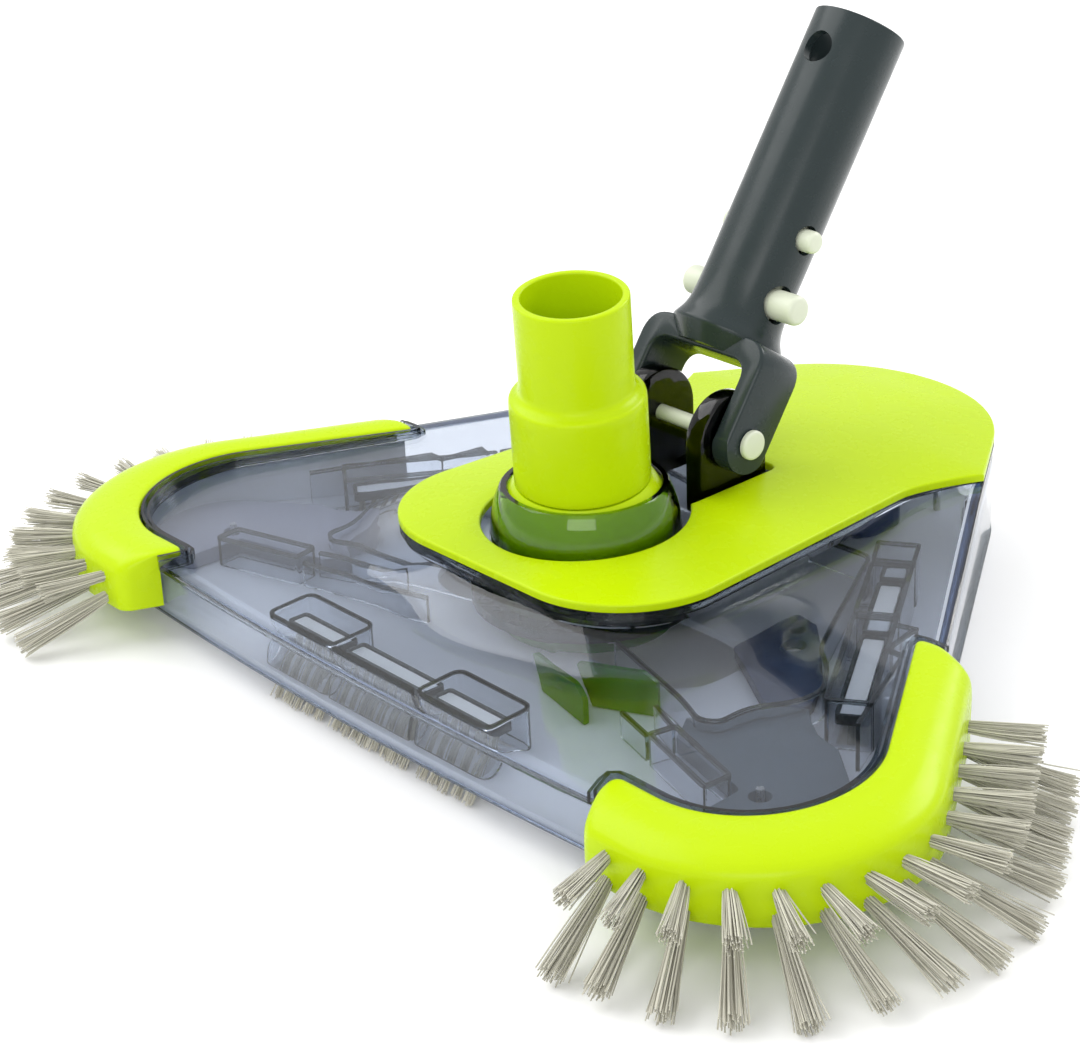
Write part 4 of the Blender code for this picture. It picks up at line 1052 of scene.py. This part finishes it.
def handle_mesh():
    """Tube and fork joined, with the bores of the pin, the buttons and the pole."""
    corners = [(TUBE_BORE_R, TUBE_END), (TUBE_R, TUBE_END), (TUBE_R, 0.0390), (TUBE_R + 0.0006, 0.0320),
               (TUBE_R + 0.0032, 0.0272), (TUBE_R - 0.0010, 0.0215)]
    line = eased(corners, [0.0006, 0.0006, 0.004, 0.004, 0.001, 0.0], 6)
    profile = [(p.x, p.y) for p in line] + [(0.0, 0.0208), (0.0, 0.0285), (TUBE_BORE_R, 0.0285)]
    tube = loose("tube", turned("tube", profile, 128))
    fork = loose("fork", fork_mesh())
    depth = FORK_DEPTH
    side = arc((0, 0), depth, 180, 360, 32) + [Vector((depth + 0.002, 0.05)), Vector((-depth - 0.002, 0.05))]
    side[0].x, side[32].x = -depth - 0.00001, depth + 0.00001
    trim = mesh_of("trim", *skin([[(x, p.x, p.y) for p in side] for x in (-0.03, 0.03)]))
    boolean(fork, loose("trim", trim), "INTERSECT")
    fork = loose("fork_cut", applied(fork, 38.0))
    boolean(tube, fork, "UNION")
    for name, radius, height, along in (
            ("pin_bore", PIN_R, 0.0, (1, 0, 0)), ("lock_bore", 0.0043, LOCK_S, (1, 0, 0)),
            ("finger_bore", 0.0056, FINGER_S, (1, 0, 0)), ("pole_bore", 0.00475, POLE_HOLE_S, (0, 1, 0))):
        boolean(tube, loose(name, cylinder_along(name, radius, 0.03, (0, 0, height), along)), "DIFFERENCE")
    return applied(tube, 38.0)


def make_handle():
    piece("handle_skin", handle_mesh(), CHARCOAL, "handle", ["pole_handle"], HANDLE_FRAME)


def button_profile(radius, start, end):
    line = [(0.0, end), (radius, end), (radius, start), (0.0, start)]
    rounded_line = eased(line, [0, 0.0019, 0.0003, 0], 6)
    return [(p.x, p.y) for p in rounded_line]


def make_clip():
    """Two clip arms, each with its snap button and its finger button."""
    inner, outer, half = 0.0079, 0.0095, 0.0035
    for side, word in SIDES:
        section = rounded([(inner, -half), (outer, -half), (outer, half), (inner, half)], 0.0004, 3)
        if side < 0:
            section = [Vector((-p.x, p.y)) for p in reversed(section)]
        heights = (0.0340, 0.0345, CLIP_BEND_S - 0.0005, CLIP_BEND_S)
        rings = [[(p.x, p.y, z) for p in section] for z in heights]
        arm = loose(f"arm_{word}", mesh_of("arm", *skin(rings)))
        for height, radius, end in ((LOCK_S, 0.00325, 0.0176), (FINGER_S, 0.0044, 0.0220)):
            button = turned("button", button_profile(radius, outer - 0.0006, end), 48, 40.0)
            button.transform(frame_on((0, 0, height), (side, 0, 0), (0, 0, 1)))
            boolean(arm, loose("button", button), "UNION")
        piece(f"clip_{word}", applied(arm, 40.0), NYLON, f"lock_arm_{word}", [f"clip_arm_{word}"],
              HANDLE_FRAME)


def make_pins():
    """Hinge pin with its head, and the cap pressed on its other end."""
    head = 0.0245
    line = [(0.0, head + 0.0018), (0.0043, head + 0.0018), (0.0043, head), (0.0023, head),
            (0.0023, -head - 0.0014), (0.0, -head - 0.0014)]
    profile = [(p.x, p.y) for p in eased(line, [0, 0.0010, 0.0002, 0, 0.0003, 0], 4)]
    along = frame_on(HINGE, (1, 0, 0), (0, 1, 0))
    piece("pin_skin", turned("pin_skin", profile, 48, 40.0), NYLON, "head", ["hinge_pin"], along)
    line = [(0.0043, -head), (0.0043, -head - 0.0014), (0.0026, -head - 0.0016), (0.0026, -head)]
    profile = [(p.x, p.y) for p in eased(line, [0.0002, 0.0006, 0.0001, 0], 3)]
    piece("cap_skin", turned("cap_skin", profile, 48, 40.0), NYLON, "head", ["pin_cap"], along)


# ---------------------------------------------------------------- base and what shows through the hood
def rect_at(middle, run, low, high, half_wide, radius=0.0012):
    """Rounded rectangle in plan: from low to high along a run, half_wide to each side."""
    side = Vector((-run.y, run.x))
    corners = [(low, -half_wide), (high, -half_wide), (high, half_wide), (low, half_wide)]
    return [middle + run * p.x + side * p.y for p in rounded(corners, radius, 4)]


def side_sleeve(side):
    """Middle and run of a side brush's sleeve in plan."""
    return (Vector((side * SIDE_POCKET_MIDDLE.x, SIDE_POCKET_MIDDLE.y)),
            Vector((side * SIDE_RUN.x, SIDE_RUN.y)))


def slot_places():
    """Open slots in the base under the brush sleeves: (middle, run, low, high, half width)."""
    across = Vector((1, 0))
    front = Vector((0, FRONT_POCKET_Y + 0.0022))
    slots = [(front, across, low, high, 0.0022) for low, high in FRONT_SLOTS]
    bristles = Vector((0, FRONT_POCKET_Y - 0.0043))
    slots += [(bristles, across, low - 0.001, high + 0.001, 0.0026) for low, high in FRONT_SPANS]
    for side in (1, -1):
        spot, run = side_sleeve(side)
        slots += [(spot, run, low, high, BRUSH_HALF_WIDE[1]) for low, high in SIDE_SLOTS]
    return slots


def make_base():
    """Floor plate with its mouth and slots, and the low walls and dark rims that stand on it."""
    outline = full_loop(hood_half(SKIN_T + GAP))
    mouth = rounded([(-0.055, -0.018), (0.055, -0.018), (0.055, 0.018), (-0.055, 0.018)], 0.0175, 14)
    holes = [mouth] + [rect_at(*slot) for slot in slot_places()]
    mesh = plate("base_skin", [outline] + holes, lambda x, y: BASE_HIGH, BASE_HIGH - BASE_LOW, 0.0003, 0.012)
    piece("base_skin", mesh, SMOKE_BASE, "head", ["base_plate"])
    low = BASE_HIGH + 0.0001
    middle = Vector((0, FRONT_POCKET_Y))
    long, wide = FRONT_POCKET
    lines = [(rect_at(middle, Vector((1, 0)), start, stop, wide, 0.0030), FRONT_SLEEVE_TOP, True)
             for start, stop in ((-long, -0.0185), (0.0185, long))]
    front = FRONT_POCKET_Y - wide
    lines.append(([(-0.0172, front), (0.0172, front)], FRONT_SLEEVE_TOP, False))
    for side in (1, -1):
        spot, run = side_sleeve(side)
        long, wide = SIDE_POCKET
        lines += [(rect_at(spot, run, start, stop, wide, 0.0010), SIDE_SLEEVE_TOP, True)
                  for start, stop in ((-long, 0.0002), (0.0022, 0.0338), (0.0358, long))]
        lines += inner_lines(side)
    walls = [wall(line, 0.0011, low, high - 0.0010, closed) for line, high, closed in lines]
    rims = [wall(line, 0.0013, high - 0.0009, high, closed) for line, high, closed in lines]
    piece("inner_walls", merged("inner_walls", walls), SMOKE_RIB, "head")
    piece("inner_rims", merged("inner_rims", rims), SMOKE_LUG, "head")


def make_floor_brush(word, middle, run, half_wide, lean, spans):
    """Brush strip in its sleeve: a dark frame round a pale backing, and the bristles under it."""
    side = Vector((-run.y, run.x))
    frames, backings = [], []
    for start, stop in spans:
        loop = rect_at(middle, run, start, stop, half_wide, 0.0010)
        frames.append(wall(loop, 0.0009, 0.0090, 0.0119, True))
        loop = rect_at(middle, run, start + 0.0008, stop - 0.0008, half_wide - 0.0008, 0.0008)
        backings.append(skin([[(p.x, p.y, z) for p in loop] for z in (0.0100, 0.0114)]))
    piece(f"{word}_frame", merged("frame", frames), CHARCOAL, "head", [f"{word}_holder"])
    piece(f"{word}_backing", merged("backing", backings), PALE_BACK, "head")
    dice = random.Random(word)
    heading = Vector((-side.x, -side.y, 0)) * lean + Vector((0, 0, -1))
    bm = bmesh.new()
    for start, stop in spans:
        count = int((stop - start) / 0.0040)
        for k in range(count):
            along = start + (stop - start) * (k + 0.5) / count
            root = middle + run * along + side * dice.uniform(-0.0004, 0.0004)
            tuft(bm, dice, Vector((root.x, root.y, 0.0080)), heading, 0.0155, 0.0008, 0.0015, 14, 0.00020)
    piece(f"{word}_fibres", finish_mesh("fibres", bm), BRISTLE, "head", [f"{word}_bristles"])


def make_floor_brushes():
    front_wide, side_wide = BRUSH_HALF_WIDE
    front = Vector((0, FRONT_POCKET_Y))
    make_floor_brush("front_brush", front, Vector((1, 0)), front_wide, 0.70, FRONT_SPANS)
    for side, word in SIDES:
        spot, run = side_sleeve(side)
        make_floor_brush(f"side_brush_{word}", spot, run, side_wide, 0.0, SIDE_SPANS)


def turned_corners(line, radius, count=5):
    """Round the inner corners of an open plan line."""
    points = [Vector(p) for p in line]
    result = [points[0]]
    for a, p, b in zip(points, points[1:], points[2:]):
        reach = min(radius, 0.45 * (a - p).length, 0.45 * (b - p).length)
        start, stop = p + (a - p).normalized() * reach, p + (b - p).normalized() * reach
        result += corner_curve(start, p, stop, count)
    return result + [points[-1]]


def inner_lines(side):
    """Low walls inside one wing, as (plan line, height, closed): chamber, step, slot and its channel."""
    slot = rounded([(0.0755, -0.0475), (0.1040, -0.0560), (0.1046, -0.0480), (0.0772, -0.0400)], 0.001, 3)
    if side > 0:
        channel = ([(0.0600, -0.0428), (0.0735, -0.0466)], [(0.0640, -0.0345), (0.0755, -0.0392)])
    else:
        channel = ([(0.0290, -0.0350), (0.0500, -0.0405), (0.0735, -0.0466)],
                   [(0.0480, -0.0270), (0.0560, -0.0310), (0.0755, -0.0392)])
    chamber = turned_corners(CHAMBER, 0.0060)
    lines = [(chamber, 0.0120, False), (SIDE_STEP, 0.0170, False), (slot, 0.0125, True)]
    lines += [(line, 0.0110, False) for line in channel]
    return [([Vector((side * p[0], p[1])) for p in line], high, closed) for line, high, closed in lines]


def flat_sheet(name, loops, low, high, edge=0.0003, spacing=0.010):
    return plate(name, loops, lambda x, y: high, high - low, edge, spacing)


def make_upstands():
    """Frosted walls of the base that stand inside the two wings, behind the bumpers."""
    inset = 0.0057
    line = arc(WING_CENTRE, WING_R - inset, -62.0, math.degrees(SIDE_ANGLE), 24)
    line += [SIDE_NORMAL * (SIDE_OFFSET - inset) + SIDE_RUN * run
             for run in (-0.0850, -0.0700, -0.0550, -0.0440)]
    top = BASE_HIGH + 0.0001
    for side, word in SIDES:
        shape = wall(line, 0.0014, top, lambda p: hood_top(p) - SKIN_T - 0.0012)
        mesh = mesh_of(f"wing_upstand_{word}", *shape)
        if side < 0:
            mirrored(mesh)
        piece(f"wing_upstand_{word}", mesh, SMOKE_BASE, "head")


def make_inner_parts():
    """Weights seen through the hood: a plate in each wing, pierced round its boss, and one by the chamber."""
    low = BASE_HIGH + 0.0003
    for side, word in SIDES:
        tip = arc((0.1120, -0.0460), 0.0240, 60, -100, 24)
        radii = [0.002] * len(WING_PLATE) + [0] * len(tip)
        outline = rounded([Vector(p) for p in WING_PLATE] + tip, radii, 4)
        boss = arc((0.1120, -0.0450), 0.0030, 0, 360, 24)[:-1]
        mesh = flat_sheet(f"wing_plate_{word}", [outline, boss], low, 0.0082)
        if side < 0:
            mirrored(mesh)
        # the right plate has the weight's own coat; the left plate's paler copy is painted light for the
        # brighter left side of the hood
        coat_and_painted_light = WING if side > 0 else WING_PAINTED_LIGHT
        piece(f"wing_plate_{word}", mesh, coat_and_painted_light, "head", [f"wing_weight_{word}"])
    spots = (((0.0540, 0.0290), 0.0024), ((0.0600, 0.0215), 0.0036))
    holes = [arc(spot, radius, 0, 360, 20)[:-1] for spot, radius in spots]
    outline = rounded(INNER_WEIGHT, 0.0025, 4)
    mesh = flat_sheet("inner_plate", [outline] + holes, low, 0.0065)
    piece("inner_plate", mesh, WEIGHT, "head")


def make_flow_guide():
    """Throat ring and two clear green vanes with sloped upper corners."""
    low = BASE_HIGH + 0.0003
    parts = []
    for start, stop, high in VANES:
        a, b = Vector(start), Vector(stop)
        run = (b - a).normalized()
        side = Vector((-run.y, run.x)) * 0.0008
        length = (b - a).length
        corners = [(0.0040, low), (length, low), (length, high - 0.003), (length - 0.0040, high), (0.0, high)]
        shape = rounded(corners, [0, 0, 0.002, 0.002, 0.001], 4)
        parts.append(skin([[(a.x + run.x * p.x + off.x, a.y + run.y * p.x + off.y, p.y) for p in shape]
                           for off in (side, -side)]))
    piece("flow_vanes", merged("flow_vanes", parts), VANE, "head", ["flow_guide"])
    ring = turned("throat_ring", [(0.0250, low + 0.003), (0.0250, low), (0.0215, low), (0.0215, low + 0.003)])
    piece("throat_ring", ring, VANE, "head")


def make_collars():
    """Smoked lips that stand on the hood's top round the bumpers' inner edges and tips."""
    stations = bumper_stations()
    path = [stations[0][0].lerp(stations[0][1], f) for f in (0.42, 0.3, 0.2, 0.1)]
    path += [inner for inner, _, _ in stations[::3]]
    path += [stations[-1][0].lerp(stations[-1][1], f) for f in (0.1, 0.2, 0.3, 0.42)]
    path = spaced(path, [k / 80 for k in range(81)])
    for side, word in SIDES:
        parts = []
        for offset, drop in ((0.0010, 0.0005), (0.0027, 0.0014)):
            plan = []
            for i, p in enumerate(path):
                run = (path[min(80, i + 2)] - path[max(0, i - 2)]).normalized()
                plan.append(p + Vector((-run.y, run.x)) * offset)
            parts.append(wall(plan, 0.0009, lambda p: hood_top(p) - 0.0002, lambda p: bumper_top(p.y) - drop))
        mesh = merged(f"bumper_collar_{word}", parts)
        if side < 0:
            mirrored(mesh)
        piece(f"bumper_collar_{word}", mesh, SMOKE_THICK, "head")


# ---------------------------------------------------------------- stage, lights and camera
def make_stage():
    bpy.ops.mesh.primitive_grid_add(x_subdivisions=2, y_subdivisions=2, size=6.0)
    floor = bpy.context.object
    floor.name = "floor"
    made, tree, shader = node_material("studio_floor")
    paper = noise_at(tree, 12.0)
    shade = blend_colour(tree, paper, (0.93, 0.93, 0.93), (0.95, 0.95, 0.95))
    tree.links.new(shade, shader.inputs["Base Color"])
    shader.inputs["Roughness"].default_value = 0.6
    floor.data.materials.append(made)
    world = bpy.data.worlds.new("studio")
    world.use_nodes = True
    world.node_tree.nodes["Background"].inputs["Color"].default_value = (1.0, 1.0, 1.0, 1.0)
    world.node_tree.nodes["Background"].inputs["Strength"].default_value = 0.92
    bpy.context.scene.world = world
    for name, place, size, power in LIGHTS:
        light = bpy.data.lights.new(name, "AREA")
        light.shape = "RECTANGLE"
        light.size, light.size_y = size
        light.energy = power
        lamp = bpy.data.objects.new(name, light)
        lamp.location = place
        lamp.rotation_euler = (Vector((0, 0, 0.03)) - Vector(place)).to_track_quat("-Z", "Y").to_euler()
        bpy.context.scene.collection.objects.link(lamp)


def make_camera():
    lens = bpy.data.cameras.new("camera")
    lens.lens = CAMERA_LENS
    lens.sensor_width = 36.0
    lens.clip_start = 0.05
    lens.clip_end = 20.0
    camera = bpy.data.objects.new("camera", lens)
    right = Vector(CAMERA_RIGHT).normalized()
    back = Vector(CAMERA_BACK).normalized()
    up = back.cross(right).normalized()
    right = up.cross(back)
    turn = Matrix((right, up, back)).transposed().to_4x4()
    camera.matrix_world = Matrix.Translation(CAMERA_PLACE) @ turn
    bpy.context.scene.collection.objects.link(camera)
    bpy.context.scene.camera = camera
    bpy.context.scene.view_settings.view_transform = "Standard"


def repaint_cad():
    """Give every CAD node that stays its procedural finish."""
    slots = {part["node"]: part["material_slot"] for part in frame["record"]["subparts"]}
    for name, node in frame["nodes"].items():
        node.data.materials.clear()
        node.data.materials.append(FINISHES[slots[name]][0])


repaint_cad()
make_hood()
make_hood_lips()
make_deck_band()
make_lugs()
make_cover()
make_base()
make_upstands()
make_inner_parts()
make_flow_guide()
make_floor_brushes()
make_bumpers()
make_collars()
make_tufts()
make_ball_and_cuff()
make_handle()
make_clip()
make_pins()
make_stage()
make_camera()
